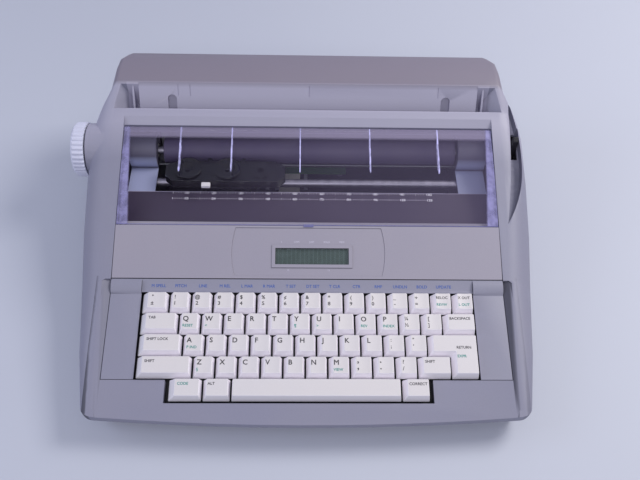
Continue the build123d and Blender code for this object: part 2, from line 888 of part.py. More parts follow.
def keyboard_plate():
    """Plate that guides the key stems, with a skirt of posts down to the sheet."""
    half = field_half + 4
    low, high = -5.3 * pitch, 0.25 * pitch
    plate = block(-half, half, low, high, -key_plate_drop - key_plate_thick, -key_plate_drop)
    hole = stem_side + 2 * stem_clearance
    plate -= [Pos(x, y, -key_plate_drop) * Box(hole, hole, 3 * key_plate_thick) for x, y in all_stems()]
    rim = 2.0
    for x_low in (-half, half - rim):
        plate += block(x_low, x_low + rim, low, high, -dome_sheet_drop, -key_plate_drop - key_plate_thick)
    for side in (-1, 1):
        for y in ear_rows:
            left, right = sorted((side * (half - 1), side * (ear_x + 6)))
            plate += block(left, right, y - 6, y + 6, -key_plate_drop - key_plate_thick, -key_plate_drop)
    return deck * plate


def dome_sheet():
    """Rubber sheet with a dome under each stem."""
    half = field_half + 4
    sheet = block(-half, half, -5.3 * pitch, 0.25 * pitch, -dome_sheet_drop - dome_sheet_thick, -dome_sheet_drop)
    return deck * sheet


def keyboard_frame():
    """Frame round the upper four key rows, with the step up to the display panel behind it."""
    front = deck_y(4.05) + seam
    under = 2.4
    step_start = 3.2
    face = make_face(
        Polyline(
            (front, deck_z(front) - under),
            (front, deck_z(front)),
            (step_start, deck_z(step_start)),
            (panel_front_y, panel_front_z - 0.3),
            (panel_front_y, panel_front_z - 0.3 - under),
            (step_start, deck_z(step_start) - under),
            close=True,
        )
    )
    frame = along_x(face, -bay_half, bay_half)
    hump = make_face(
        ThreePointArc((-1.6, deck_z(-1.6) - 0.4), (3.6, deck_z(3.6) + 3.0), (panel_front_y, panel_front_z - 0.3))
        + Polyline(
            (panel_front_y, panel_front_z - 0.3),
            (panel_front_y, panel_front_z - 1.5),
            (step_start, deck_z(step_start) - 1.2),
            (-1.6, deck_z(-1.6) - 1.2),
            (-1.6, deck_z(-1.6) - 0.4),
        )
    )
    strip_half = field_half + field_clearance
    for low, high in ((-bay_half, -strip_half), (strip_half, bay_half)):
        frame += along_x(hump, low, high)
    hole = block(-strip_half, strip_half, -6 * pitch, field_clearance, -30, 30)
    frame -= deck * hole
    rim = 5.2
    for low, high in ((-bay_half, -bay_half + 2), (bay_half - 2, bay_half)):
        face = side_outline(
            (front + 6, deck_z(front + 6) - under - rim),
            (front + 6, deck_z(front + 6) - under),
            (0, deck_z(0) - under),
            (0, deck_z(0) - under - rim),
        )
        frame += along_x(face, low, high)
    return frame


# Display


def panel_face():
    """Plane on the display panel's upper face, X across and Y up the slope."""
    run = panel_rear_y - panel_front_y
    rise = panel_rear_z - panel_front_z
    length = math.hypot(run, rise)
    return Plane(origin=(0, panel_front_y, panel_front_z), x_dir=(1, 0, 0), z_dir=(0, -rise / length, run / length))


def panel_length():
    return math.hypot(panel_rear_y - panel_front_y, panel_rear_z - panel_front_z)


def panel_along(y):
    """Distance up the panel of a point at a given Y."""
    return (y - panel_front_y) * panel_length() / (panel_rear_y - panel_front_y)


def display_panel():
    face = panel_face()
    length = panel_length()
    panel = block(-bay_half, bay_half, seam, length, -panel_thick, 0)
    bow = 3.0
    pad = make_face(
        Line((-pad_half, 3), (pad_half, 3))
        + ThreePointArc((pad_half, 3), (pad_half + bow, length / 2), (pad_half, length - 2))
        + Line((pad_half, length - 2), (-pad_half, length - 2))
        + ThreePointArc((-pad_half, length - 2), (-pad_half - bow, length / 2), (-pad_half, 3))
    )
    panel -= extrude(Pos(0, 0, -pad_step) * pad, amount=10)
    low, high = panel_along(window_front), panel_along(window_rear)
    margin = bezel_margin
    panel += block(
        window_left - margin, window_right + margin, low - margin, high + margin, -panel_thick, bezel_drop - pad_step
    )
    panel -= block(window_left, window_right, low, high, -10, 10)
    panel += block(-side_reach, side_reach, seam, seam + 2.0, -panel_thick - 6, -panel_thick)
    panel = face * panel
    panel -= block(-far, far, panel_rear_y, far, 0, far)
    panel += block(-side_reach, side_reach, panel_rear_y - 2.4, panel_rear_y, ledge_z - 1.8, panel_rear_z - 1.6)
    return panel + block(-side_reach, side_reach, panel_rear_y - 2.4, panel_rear_y + 7.5, ledge_z - 1.8, ledge_z)


def display_window():
    low, high = panel_along(window_front), panel_along(window_rear)
    gap = 0.15
    pane = block(window_left + gap, window_right - gap, low + gap, high - gap, -panel_thick, -window_drop)
    return panel_face() * pane


def lcd_module():
    low, high = panel_along(window_front), panel_along(window_rear)
    top = -panel_thick
    glass = block(window_left - 4, window_right + 4, low - 4, high + 4, top - 3.2, top)
    board = block(window_left - 10, window_right + 10, low - 6, high + 6, top - 4.8, top - 3.2)
    return panel_face() * (glass + board)


# Dust cover


def cover_top_face():
    """Side view of the cover's sheet: a low arch from the display panel to the hinge."""
    chord_mid_y = (panel_rear_y + cover_rear_y) / 2
    chord_mid_z = (panel_rear_z + cover_rear_z) / 2
    front = (panel_rear_y + cover_gap, panel_rear_z)
    rear = (hinge_y, cover_rear_z)
    middle = (chord_mid_y, chord_mid_z + cover_arch)
    top = ThreePointArc(front, middle, rear)
    return top, front, middle, rear


def cover_skin(inset):
    """The space under the cover's upper face, less a wall when inset."""
    top, front, middle, rear = cover_top_face()
    shape = make_face(
        ThreePointArc((front[0] + inset, front[1] - inset), (middle[0], middle[1] - inset), (rear[0], rear[1] - inset))
        + Polyline(
            (rear[0], rear[1] - inset),
            *[(y, z - inset) for y, z in reversed(cover_side_foot)],
            (front[0] + 4, front[1] - cover_lip_depth - inset),
            (front[0] + inset, front[1] - cover_lip_depth - inset),
            (front[0] + inset, front[1] - inset),
        )
    )
    half = bay_half - 0.4 - inset
    return along_x(shape, -half, half)


def dust_cover():
    skin = cover_skin(0) - cover_skin(cover_wall)
    barrel = rod_x(hinge_radius, -bay_half + 0.4, bay_half - 0.4, hinge_y, hinge_z)
    skin += barrel
    _, front, middle, rear = cover_top_face()
    ribs = []
    rib_face = side_outline(
        (middle[0] + 4, middle[1] - 1.5),
        (middle[0] + 10, middle[1] - rib_depth + 1.5),
        (hinge_y - 14, hinge_z - rib_depth - 1.5),
        (hinge_y - 2, hinge_z),
    )
    for x in rib_places:
        ribs.append(along_x(rib_face, x - rib_width / 2, x + rib_width / 2) & cover_skin(0))
    skin += ribs
    for side in (-1, 1):
        inner = side * (bay_half - 1)
        outer = side * (bay_half + hinge_pin_reach)
        skin += rod_x(hinge_pin_radius, inner, outer, hinge_y, hinge_z)
    tab = side_outline(
        (front[0] - tab_reach, front[1] + 0.3),
        (front[0] + 4, front[1] + 1.9),
        (front[0] + 4, front[1] + 0.2),
        (front[0], front[1] + 0.1),
    )
    skin += along_x(tab, -tab_width / 2, tab_width / 2)
    return skin


# Platen and paper feed


def spur_gear(teeth, bore, x_from, y, z, phase):
    """Straight cut gear with trapezoid teeth, on an axis along X."""
    outer = gear_module * (teeth + 2) / 2 - 0.12
    pitch_radius = gear_module * teeth / 2
    root = gear_module * (teeth - 2.6) / 2
    tooth = 2 * math.pi / teeth
    points = []
    for k in range(teeth):
        middle = phase + k * tooth
        for radius, share in ((root, -0.36), (pitch_radius, -0.225), (outer, -0.10), (outer, 0.10), (pitch_radius, 0.225), (root, 0.36)):
            angle = middle + share * tooth
            points.append((radius * math.cos(angle), radius * math.sin(angle)))
    face = make_face(Polyline(*points, close=True)) - Circle(bore)
    return along_x(Pos(y, z) * face, x_from, x_from + gear_width)


def meshed(phase, teeth, direction, next_teeth):
    """Angle of a tooth of the next gear that fits this gear's teeth across the line of centres."""
    return direction + math.pi - (phase - direction) * teeth / next_teeth + math.pi / next_teeth


def gear_phases():
    """Tooth angles of the platen gear, the idler and the pinion."""
    first, second = math.radians(idler_angle), math.radians(pinion_angle)
    idler_phase = meshed(first, platen_teeth, first, idler_teeth)
    return first, idler_phase, meshed(idler_phase, idler_teeth, second, pinion_teeth)


def platen_roller():
    return tube_x(platen_radius, platen_shaft_radius, platen_left, platen_right, platen_y, platen_z)


def platen_shaft():
    left = knob_face_x + 4
    right = gear_x + gear_width + 3
    return rod_x(platen_shaft_radius, left, right, platen_y, platen_z)


def platen_knob():
    """Hand wheel with grip ribs round its rim and a dished outer face."""
    inner_x = knob_face_x + knob_width
    points = []
    step = math.pi / knob_ribs
    for k in range(2 * knob_ribs):
        radius = knob_radius - (knob_rib_depth if k % 2 else 0)
        for turn in (k - 0.28, k + 0.28):
            points.append((radius * math.cos(turn * step), radius * math.sin(turn * step)))
    rim = along_x(Pos(platen_y, platen_z) * make_face(Polyline(*points, close=True)), knob_face_x, inner_x)
    cone = loft(
        [
            Plane.YZ.offset(knob_face_x - 0.1) * Pos(platen_y, platen_z) * Circle(knob_radius - 2.2),
            Plane.YZ.offset(knob_face_x + 3.0) * Pos(platen_y, platen_z) * Circle(knob_radius + 1),
            Plane.YZ.offset(inner_x) * Pos(platen_y, platen_z) * Circle(knob_radius + 1),
        ],
        ruled=True,
    )
    knob = rim & cone
    knob -= rod_x(knob_radius - 6, knob_face_x - 1, knob_face_x + 1.2, platen_y, platen_z)
    knob -= rod_x(platen_shaft_radius, knob_face_x + 4, inner_x + 1, platen_y, platen_z)
    return knob


def platen_bushes():
    """Bearing bush in each side plate, round the platen shaft."""
    bore = platen_shaft_radius + running_fit
    return [
        tube_x(bush_radius, bore, side_plate_left - 2, side_plate_left + 3, platen_y, platen_z),
        tube_x(bush_radius, bore, side_plate_right - 1, side_plate_right + 3.5, platen_y, platen_z),
    ]


def feed_rollers():
    """Rubber pressure rollers on their shaft under the platen."""
    half = feed_length / 2
    shaft = rod_x(feed_shaft_radius, side_plate_left + 0.4, side_plate_right + 1.6, feed_y, feed_z)
    tubes = [tube_x(feed_radius, feed_shaft_radius, x - half, x + half, feed_y, feed_z) for x in feed_places]
    return [shaft, *tubes]


def paper_pan():
    """Curved sheet that leads the paper round the platen, open at the pressure rollers."""
    inner = platen_radius + pan_gap
    outer = inner + pan_thick
    start, end = math.radians(pan_start), math.radians(pan_end)
    middle = (start + end) / 2

    def at(radius, angle):
        return (platen_y + radius * math.cos(angle), platen_z + radius * math.sin(angle))

    chute_y = paper_wall_top_y - (paper_wall_top_z - chute_floor_z) / lean_tangent
    lip = (chute_y - 0.4, chute_floor_z - 1.0)
    lip_out = (chute_y + 0.8, chute_floor_z - 1.0)
    face = make_face(
        ThreePointArc(at(inner, start), at(inner, middle), at(inner, end))
        + Polyline(at(inner, end), lip, lip_out, at(outer, end))
        + ThreePointArc(at(outer, end), at(outer, middle), at(outer, start))
        + Line(at(outer, start), at(inner, start))
    )
    left, right = side_plate_left + side_plate_thick, side_plate_right
    pan = along_x(face, left, right)
    pan -= block(left - 1, left + 2.6, 0, far, shelf_z - 4, far)
    pan -= block(right - 5.4, right + 1, 0, far, shelf_z - 4, far)
    room = feed_radius + 0.8
    for x in feed_places:
        half = feed_length / 2 + 1
        pan -= along_x(Pos(feed_y, feed_z) * Circle(room), x - half, x + half)
    return pan


def side_plate(x_low):
    """Steel side frame of the printer, with its holes for shafts and rails."""
    base = foot_height + wall
    under_shelf = shelf_z - shroud_wall
    face = side_outline(
        (99, base),
        (99, under_shelf),
        (135.8, under_shelf),
        (platen_y - 13.6, platen_z - 4),
        (platen_y - 13.6, platen_z + 4),
        (platen_y - 6, platen_z + 13.4),
        (platen_y + 6, platen_z + 13.4),
        (platen_y + 13.6, platen_z + 4),
        (171, 50),
        (171, base),
    )
    plate = along_x(face, x_low, x_low + side_plate_thick)
    holes = [
        rod_x(bush_radius, -far, far, platen_y, platen_z),
        rod_x(feed_shaft_radius + running_fit, -far, far, feed_y, feed_z),
        rod_x(rail_radius, -far, far, rail_y, rail_z),
    ]
    return plate - holes


def side_cover(inner, outer):
    """Moulding over one end of the platen: a half round hood and a flat shelf in front of it."""
    hood_outer = shroud_radius
    hood_inner = shroud_radius - shroud_wall
    drop = platen_z - shelf_z
    turn_out = math.radians(12)
    top = math.radians(80)
    foot_outer = math.pi + math.asin(drop / hood_outer)
    foot_inner = math.pi + math.asin((drop + shroud_wall) / hood_inner)

    def at(radius, angle):
        return (platen_y + radius * math.cos(angle), platen_z + radius * math.sin(angle))

    face = make_face(
        ThreePointArc(at(hood_outer, turn_out), at(hood_outer, top), at(hood_outer, foot_outer))
        + Polyline(
            at(hood_outer, foot_outer),
            (shelf_front_y, shelf_z),
            (shelf_front_y, shelf_z - shroud_wall),
            at(hood_inner, foot_inner),
        )
        + ThreePointArc(at(hood_inner, foot_inner), at(hood_inner, top), at(hood_inner, turn_out))
        + Line(at(hood_inner, turn_out), at(hood_outer, turn_out))
    )
    cover = along_x(face, min(inner, outer), max(inner, outer))
    edge = inner + (shroud_wall if inner > 0 else -shroud_wall)
    cheek = make_face(
        ThreePointArc(at(hood_outer, turn_out), at(hood_outer, top), at(hood_outer, foot_outer))
        + Line(at(hood_outer, foot_outer), at(hood_outer, turn_out))
    )
    end = along_x(cheek, min(inner, edge), max(inner, edge))
    return cover + end - rod_x(bush_radius + 0.3, -far, far, platen_y, platen_z)


def idler_gear():
    return spur_gear(idler_teeth, 2.0 + running_fit, gear_x, idler_y, idler_z, gear_phases()[1])


def motor_pinion():
    return spur_gear(pinion_teeth, 1.0, gear_x, pinion_y, pinion_z, gear_phases()[2])


def feed_motor():
    """Flat stepper motor with its mounting ear and shaft."""
    start = gear_x + gear_width + 1
    body = rod_x(motor_radius, start, start + motor_depth, pinion_y, pinion_z)
    shaft = rod_x(1.0 - running_fit / 2, gear_x - 0.5, start, pinion_y, pinion_z)
    ear = block(start, start + 1.2, pinion_y - 21, pinion_y + 21, pinion_z - 4, pinion_z + 4)
    bracket = block(start, start + 1.2, pinion_y - 6, pinion_y + 6, foot_height + wall, pinion_z)
    return body + shaft + ear + bracket


def idler_post():
    """Pin of the idler gear, on the right side plate."""
    return rod_x(2.0, side_plate_right, gear_x + gear_width + 0.8, idler_y, idler_z)


# Carriage


def carriage_rail():
    return rod_x(rail_radius, side_plate_left, side_plate_right + side_plate_thick, rail_y, rail_z)


def guide_rail():
    """Flat front rail that the carriage's shoe slides on."""
    left, right = side_plate_left + side_plate_thick, side_plate_right
    return block(left, right, guide_front_y, guide_rear_y, guide_top_z - guide_thick, guide_top_z)


def carriage_frame():
    """Saddle with a bearing tube on the round rail, a motor plate, a front shoe and a belt clamp."""
    left, right = carriage_x - carriage_half, carriage_x + carriage_half
    bore = rail_radius + running_fit
    top = cassette_floor_z
    floor = guide_top_z + shoe_gap
    cheek = side_outline(
        (97, floor), (97, 57), (105, 57), (105, top), (127, top), (127, 50), (118, 40), (113, floor)
    )
    frame = rod_x(rail_radius + rail_tube, left, right, rail_y, rail_z)
    frame += [along_x(cheek, x, x + 2) for x in (left, right - 2)]
    frame += block(left, right, 105, 127, top - 2.4, top)
    frame += block(left, right, rail_y - 2, rail_y + 2, rail_z, top - 1)
    frame += block(left, right, 97, 99, floor, 57)
    frame += block(left, right, 97, 113, floor, floor + 2.2)
    hook = guide_rear_y + shoe_gap
    under = guide_top_z - guide_thick - shoe_gap
    frame += block(carriage_x - 10, carriage_x + 10, hook, hook + 2.4, under - 2.4, floor + 1)
    frame += block(carriage_x - 10, carriage_x + 10, hook - 6, hook + 2.4, under - 2.4, under)
    frame -= rod_x(bore, -far, far, rail_y, rail_z)
    frame -= rod_y(3.0, 96, 100, carriage_x, wheel_z)
    frame += hammer_guide()
    return frame + belt_clamp()


def hammer_guide():
    """Block with the bore that the hammer slides in."""
    guide = block(
        carriage_x - 5, carriage_x + 5, 107, 121, cassette_floor_z - 1, hammer_z + hammer_radius + 2.4
    )
    return guide - rod_y(hammer_radius + running_fit, 100, 130, carriage_x, hammer_z)


def belt_clamp():
    """Jaws on the carriage round the rear run of the belt."""
    low = pulley_z - pulley_height / 2 + 0.6 - shoe_gap
    run_front = pulley_y + pulley_radius + belt_gap - shoe_gap
    run_rear = pulley_y + pulley_radius + belt_gap + belt_thick + shoe_gap
    left, right = carriage_x - 5, carriage_x + 5
    clamp = block(left, right, run_front - 1.6, 98, low - 1.8, low)
    clamp += block(left, right, run_front - 1.6, run_front, low - 1.8, pulley_z + 2)
    return clamp + block(left, right, run_rear, 98, low - 1.8, pulley_z + 2)


def wheel_motor():
    """Stepper motor behind the type wheel."""
    body = rod_y(12.5, 99, 112.4, carriage_x, wheel_z)
    return body + rod_y(2.0, 112.4, wheel_y + 1.6, carriage_x, wheel_z)


def daisy_wheel():
    """Type wheel: a hub with thin petals that each end in a type slug."""
    hub = rod_y(7.0, wheel_y - wheel_thick, wheel_y + wheel_thick, carriage_x, wheel_z)
    petal = Pos(0, wheel_radius / 2) * Rectangle(1.6, wheel_radius)
    slug = Pos(0, wheel_radius - 2.4) * Rectangle(3.0, 4.8)
    face = Circle(9.0)
    step = 360 / wheel_spokes
    face += [Rot(0, 0, k * step) * petal for k in range(wheel_spokes)]
    face += [Rot(0, 0, k * step) * slug for k in range(wheel_spokes)]
    petals = extrude(Plane.XZ.offset(-wheel_y - 0.5) * Pos(carriage_x, wheel_z) * face, amount=0.9)
    wheel = hub + petals
    return wheel - rod_y(2.0 + running_fit, wheel_y - 10, wheel_y + 10, carriage_x, wheel_z)


def print_hammer():
    """Hammer pin that strikes the slug against the ribbon."""
    tip = wheel_y - 0.4 - 0.7 - hammer_stroke
    pin = rod_y(hammer_radius, 106, tip, carriage_x, hammer_z)
    return pin + rod_y(hammer_radius + 0.7, tip - 4.5, tip - 3.0, carriage_x, hammer_z)


def ribbon_cassette():
    """Ribbon cassette over the wheel, with two arms that hold the ribbon at the platen."""
    left, right = carriage_x - cassette_half, carriage_x + cassette_half
    low, high = cassette_floor_z, cassette_floor_z + cassette_depth
    front, rear = cassette_front_y, cassette_rear_y
    plan = make_face(
        Polyline(
            (left + 7, front),
            (right - 7, front),
            (right, front + 7),
            (right, rear - 6),
            (right - 12, rear),
            (left + 12, rear),
            (left, rear - 6),
            (left, front + 7),
            close=True,
        )
    )
    body = extrude(Plane.XY.offset(low) * plan, amount=high - low)
    roof = hammer_z + hammer_radius + 3.0
    body -= block(carriage_x - 12, carriage_x + 12, 105.8, rear + 1, low - 1, roof)
    for x in (carriage_x - 33, carriage_x + 33):
        body += rod_z(9.0, high, high + 1.4, x, (front + rear) / 2)
        body -= rod_z(3.0, high - 3, high + 3, x, (front + rear) / 2)
    for side in (-1, 1):
        x = carriage_x + side * 16
        body += block(x - 2, x + 2, rear - 6, platen_y - platen_radius - 1.2, low + 2, low + 8)
    return body


def reel(side):
    """Correction tape reel with two flanges."""
    x = carriage_x + side * reel_spread
    outer = rod_y(reel_radius, reel_y - reel_width / 2, reel_y - reel_width / 2 + 0.8, x, reel_z)
    outer += rod_y(reel_radius, reel_y + reel_width / 2 - 0.8, reel_y + reel_width / 2, x, reel_z)
    core = rod_y(reel_radius - 3.5, reel_y - reel_width / 2, reel_y + reel_width / 2, x, reel_z)
    return outer + core - rod_y(2.0 + running_fit, reel_y - 10, reel_y + 10, x, reel_z)


def reel_posts():
    """Posts of the two reels on the carriage's front plate."""
    return [rod_y(2.0, reel_y - reel_width / 2 - 0.6, 98, carriage_x + s * reel_spread, reel_z) for s in (-1, 1)]


def timing_belt():
    """Toothed belt drawn as a plain loop round its two pulleys."""
    inner = pulley_radius + belt_gap
    outer = inner + belt_thick
    low = pulley_z - pulley_height / 2 + 0.6
    high = pulley_z + pulley_height / 2 - 0.6

    def loop(radius):
        return Pos(0, pulley_y) * SlotCenterToCenter(2 * pulley_x, 2 * radius)

    return extrude(Plane.XY.offset(low) * (loop(outer) - loop(inner)), amount=high - low)


def pulley(x):
    low, high = pulley_z - pulley_height / 2, pulley_z + pulley_height / 2
    wheel = rod_z(pulley_radius, low, high, x, pulley_y)
    for z in (low - 0.8, high):
        wheel += rod_z(pulley_radius + 1.5, z, z + 0.8, x, pulley_y)
    return wheel - rod_z(1.5 + running_fit, low - 2, high + 2, x, pulley_y)


def carriage_motor():
    """Motor under the left pulley, with its shaft through the pulley."""
    base = foot_height + wall
    top = pulley_z - pulley_height / 2 - 1.4
    return rod_z(15.0, base, top, -pulley_x, pulley_y) + rod_z(1.5, top, pulley_z + 4.5, -pulley_x, pulley_y)


def pulley_post():
    """Moulded post of the pan with the pin of the right pulley."""
    low = pulley_z - pulley_height / 2 - 1.4
    post = rod_z(5.0, foot_height + 1, low, pulley_x, pulley_y)
    return post + rod_z(1.5, low, pulley_z + 4.5, pulley_x, pulley_y)


# Small parts


def scale_plate():
    """Dark plate under the front of the cover, whose rear edge carries the margin scale."""
    front = panel_rear_y + 4.2
    front_z = shelf_z - 1.6
    rear = shelf_front_y - 0.4
    rear_z = shelf_z + 1.2
    thick = 1.6
    under = ledge_z - 1.8
    face = side_outline(
        (front, under),
        (front + thick, under),
        (front + thick, front_z),
        (rear, rear_z),
        (rear, shelf_z - shroud_wall),
        (rear - thick, shelf_z - shroud_wall),
        (rear - thick, rear_z - thick),
        (front, front_z - thick),
    )
    return along_x(face, -side_reach, side_reach)


def release_lever():
    """Paper release lever: a cross shaft and a thumb paddle that stands in the scoop."""
    shaft = rod_x(lever_shaft_radius, bay_half - 9, lever_x, lever_y, lever_z)
    face = make_face(
        Polyline(
            (lever_y - 5, lever_z),
            (lever_y - 3.2, lever_top_z - 3),
            (lever_y, lever_top_z),
            (lever_y + 3.2, lever_top_z - 3),
            (lever_y + 5, lever_z),
            close=True,
        )
    )
    paddle = along_x(face, lever_x - lever_width / 2, lever_x + lever_width / 2)
    hub = rod_x(6.0, lever_x - lever_width / 2, lever_x + lever_width / 2, lever_y, lever_z)
    cam = rod_x(5.5, bay_half - 9, bay_half - 5, lever_y + 2, lever_z)
    return shaft + paddle + hub + cam


def power_switch():
    """Rocker of the mains switch, on its cross pin in the rear wall."""
    gap = 0.3
    tall = switch_tall - gap
    face = side_outline(
        (rear_y - 7, switch_z - tall + 2.4),
        (rear_y + 1.6, switch_z - tall + 0.6),
        (rear_y - 0.2, switch_z),
        (rear_y + 0.6, switch_z + tall - 1),
        (rear_y - 7, switch_z + tall - 2.4),
    )
    rocker = along_x(face, switch_x - switch_half + gap, switch_x + switch_half - gap)
    return rocker + rod_x(1.2, switch_x - switch_half - 1, switch_x + switch_half + 1, rear_y - 4, switch_z)


def switch_body():
    """Back of the switch behind the rear wall, with a cheek on each side of the rocker."""
    half = switch_half + 2
    body = block(switch_x - half, switch_x + half, rear_y - 24, rear_y - 9, switch_z - 9, switch_z + 9)
    for side in (-1, 1):
        low, high = sorted((switch_x + side * switch_half, switch_x + side * half))
        body += block(low, high, rear_y - 10, rear_y - wall, switch_z - 9, switch_z + 9)
    return body - rod_x(1.2 + running_fit, switch_x - half + 0.8, switch_x + half - 0.8, rear_y - 4, switch_z)


def cord_inlet():
    """Rubber ring in the rear wall where the mains cord enters."""
    ring = rod_y(inlet_radius, rear_y - wall, rear_y + 1.4, inlet_x, inlet_z)
    ring += rod_y(inlet_radius + 1.6, rear_y - wall - 2, rear_y - wall, inlet_x, inlet_z)
    return ring - rod_y(3.6, rear_y - 20, rear_y + 5, inlet_x, inlet_z)


def main_board():
    board = block(-140, 40, 166, 232, board_z, board_z + board_thick)
    chips = [(-120, 190, 36, 16, 5), (-70, 200, 28, 28, 4), (-20, 186, 24, 10, 4), (8, 214, 18, 18, 9)]
    for x, y, long, wide, tall in chips:
        top = board_z + board_thick
        board += block(x - long / 2, x + long / 2, y - wide / 2, y + wide / 2, top, top + tall)
    return board


def transformer():
    base = foot_height + wall
    core = block(52, 108, 186, 226, base, base + 44)
    coil = block(58, 102, 178, 234, base + 8, base + 36)
    return core + coil


def flat_cable():
    """Flat cable from the key contacts back to the main board, laid along the pan."""
    base = foot_height + wall
    thick = 0.6
    sheet_z = deck_z(-50.0) - (dome_sheet_drop + dome_sheet_thick) / math.cos(math.radians(deck_slope))
    face = side_outline(
        (-50.0 - thick, sheet_z - thick * math.tan(math.radians(deck_slope))),
        (-50.0 - thick, base),
        (160.4, base),
        (166.4, board_z - thick),
        (175.0, board_z - thick),
        (175.0, board_z),
        (166.0, board_z),
        (160.0, base + thick),
        (-50.0, base + thick),
        (-50.0, sheet_z),
    )
    return along_x(face, -30, -8)


def rubber_feet():
    places = [(x, y) for x in (-foot_x, foot_x) for y in (foot_front_y, foot_rear_y)]
    feet = []
    for x, y in places:
        feet.append(
            loft(
                [
                    Pos(x, y, 0) * Circle(foot_radius - 1.2),
                    Pos(x, y, foot_height) * Circle(foot_radius),
                ],
                ruled=True,
            )
        )
    return feet


def case_screws():
    screws = []
    for x, y in screw_places:
        seat = foot_height + 8
        head = rod_z(screw_head, seat - screw_head_deep, seat, x, y)
        shank = rod_z(screw_radius - 0.05, seat, parting_z + screw_grip, x, y)
        screws.append(head + shank)
    return screws


# Assembly


def pieces():
    parts = {
        "upper_case": upper_case(),
        "lower_case": lower_case(),
        "keyboard_frame": keyboard_frame(),
        "keyboard_plate": keyboard_plate(),
        "dome_sheet": dome_sheet(),
        "display_panel": display_panel(),
        "display_window": display_window(),
        "lcd_module": lcd_module(),
        "dust_cover": dust_cover(),
        "scale_plate": scale_plate(),
        "platen_roller": platen_roller(),
        "platen_shaft": platen_shaft(),
        "platen_knob": platen_knob(),
        "platen_gear": spur_gear(platen_teeth, platen_shaft_radius, gear_x, platen_y, platen_z, gear_phases()[0]),
        "platen_bushes": platen_bushes(),
        "feed_rollers": feed_rollers(),
        "paper_pan": paper_pan(),
        "left_side_plate": side_plate(side_plate_left),
        "right_side_plate": side_plate(side_plate_right) + idler_post(),
        "left_platen_cover": side_cover(hood_gap_left - bay_half, -side_reach),
        "right_platen_cover": side_cover(bay_half - hood_gap_right, side_reach),
        "idler_gear": idler_gear(),
        "motor_pinion": motor_pinion(),
        "feed_motor": feed_motor(),
        "carriage_rail": carriage_rail(),
        "guide_rail": guide_rail(),
        "carriage_frame": carriage_frame() + reel_posts(),
        "ribbon_cassette": ribbon_cassette(),
        "wheel_motor": wheel_motor(),
        "daisy_wheel": daisy_wheel(),
        "print_hammer": print_hammer(),
        "supply_reel": reel(-1),
        "takeup_reel": reel(1),
        "timing_belt": timing_belt(),
        "drive_pulley": pulley(-pulley_x),
        "idler_pulley": pulley(pulley_x),
        "carriage_motor": carriage_motor(),
        "release_lever": release_lever(),
        "power_switch": power_switch(),
        "switch_body": switch_body(),
        "cord_inlet": cord_inlet(),
        "main_board": main_board(),
        "transformer": transformer(),
        "flat_cable": flat_cable(),
        "rubber_feet": rubber_feet(),
        "case_screws": case_screws(),
    }
    for name, key in {**single_keys(), **key_groups()}.items():
        parts[name] = [deck * k for k in key] if isinstance(key, list) else deck * key
    return parts


def machine_middle(parts):
    """Middle of the whole machine's box in X and Y."""
    solids = [s for part in parts.values() for s in (part if isinstance(part, list) else [part])]
    boxes = [s.bounding_box() for s in solids]
    middle_x = (min(b.min.X for b in boxes) + max(b.max.X for b in boxes)) / 2
    middle_y = (min(b.min.Y for b in boxes) + max(b.max.Y for b in boxes)) / 2
    return middle_x, middle_y


def main():
    os.makedirs("parts", exist_ok=True)
    parts = pieces()
    middle_x, middle_y = machine_middle(parts)
    shift = Pos(-middle_x, -middle_y, 0)
    for name, part in parts.items():
        placed = [shift * p for p in part] if isinstance(part, list) else shift * part
        shape = Compound(children=placed) if isinstance(placed, list) else placed
        export_step(shape, f"parts/{name}.step")
    print("nodes", len(parts))
    print("middle", round(middle_x, 4), round(middle_y, 4))
    anchors = {
        "hinge": (0, hinge_y, hinge_z),
        "platen": (0, platen_y, platen_z),
        "idler": (gear_x, idler_y, idler_z),
        "pinion": (gear_x, pinion_y, pinion_z),
        "feed": (0, feed_y, feed_z),
        "lever": (lever_x, lever_y, lever_z),
        "wheel": (carriage_x, wheel_y, wheel_z),
        "supply": (carriage_x - reel_spread, reel_y, reel_z),
        "takeup": (carriage_x + reel_spread, reel_y, reel_z),
        "drive": (-pulley_x, pulley_y, pulley_z),
        "tension": (pulley_x, pulley_y, pulley_z),
        "switch": (switch_x, rear_y - 4, switch_z),
    }
    for name, (x, y, z) in anchors.items():
        print("anchor", name, round(x - middle_x, 4), round(y - middle_y, 4), round(z, 4))


main()
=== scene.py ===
# %% [markdown]
# An electronic typewriter in Blender. The solids come in from the frame with true sizes and plain finishes.
# This notebook gives them moulded edges and plastics, prints the legends on the keys, adds the small repeated
# details with Geometry Nodes, and sets up a soft studio. Everything is in metres.

import json
import math

import bmesh
import bpy
from mathutils import Matrix, Vector
from mathutils.bvhtree import BVHTree

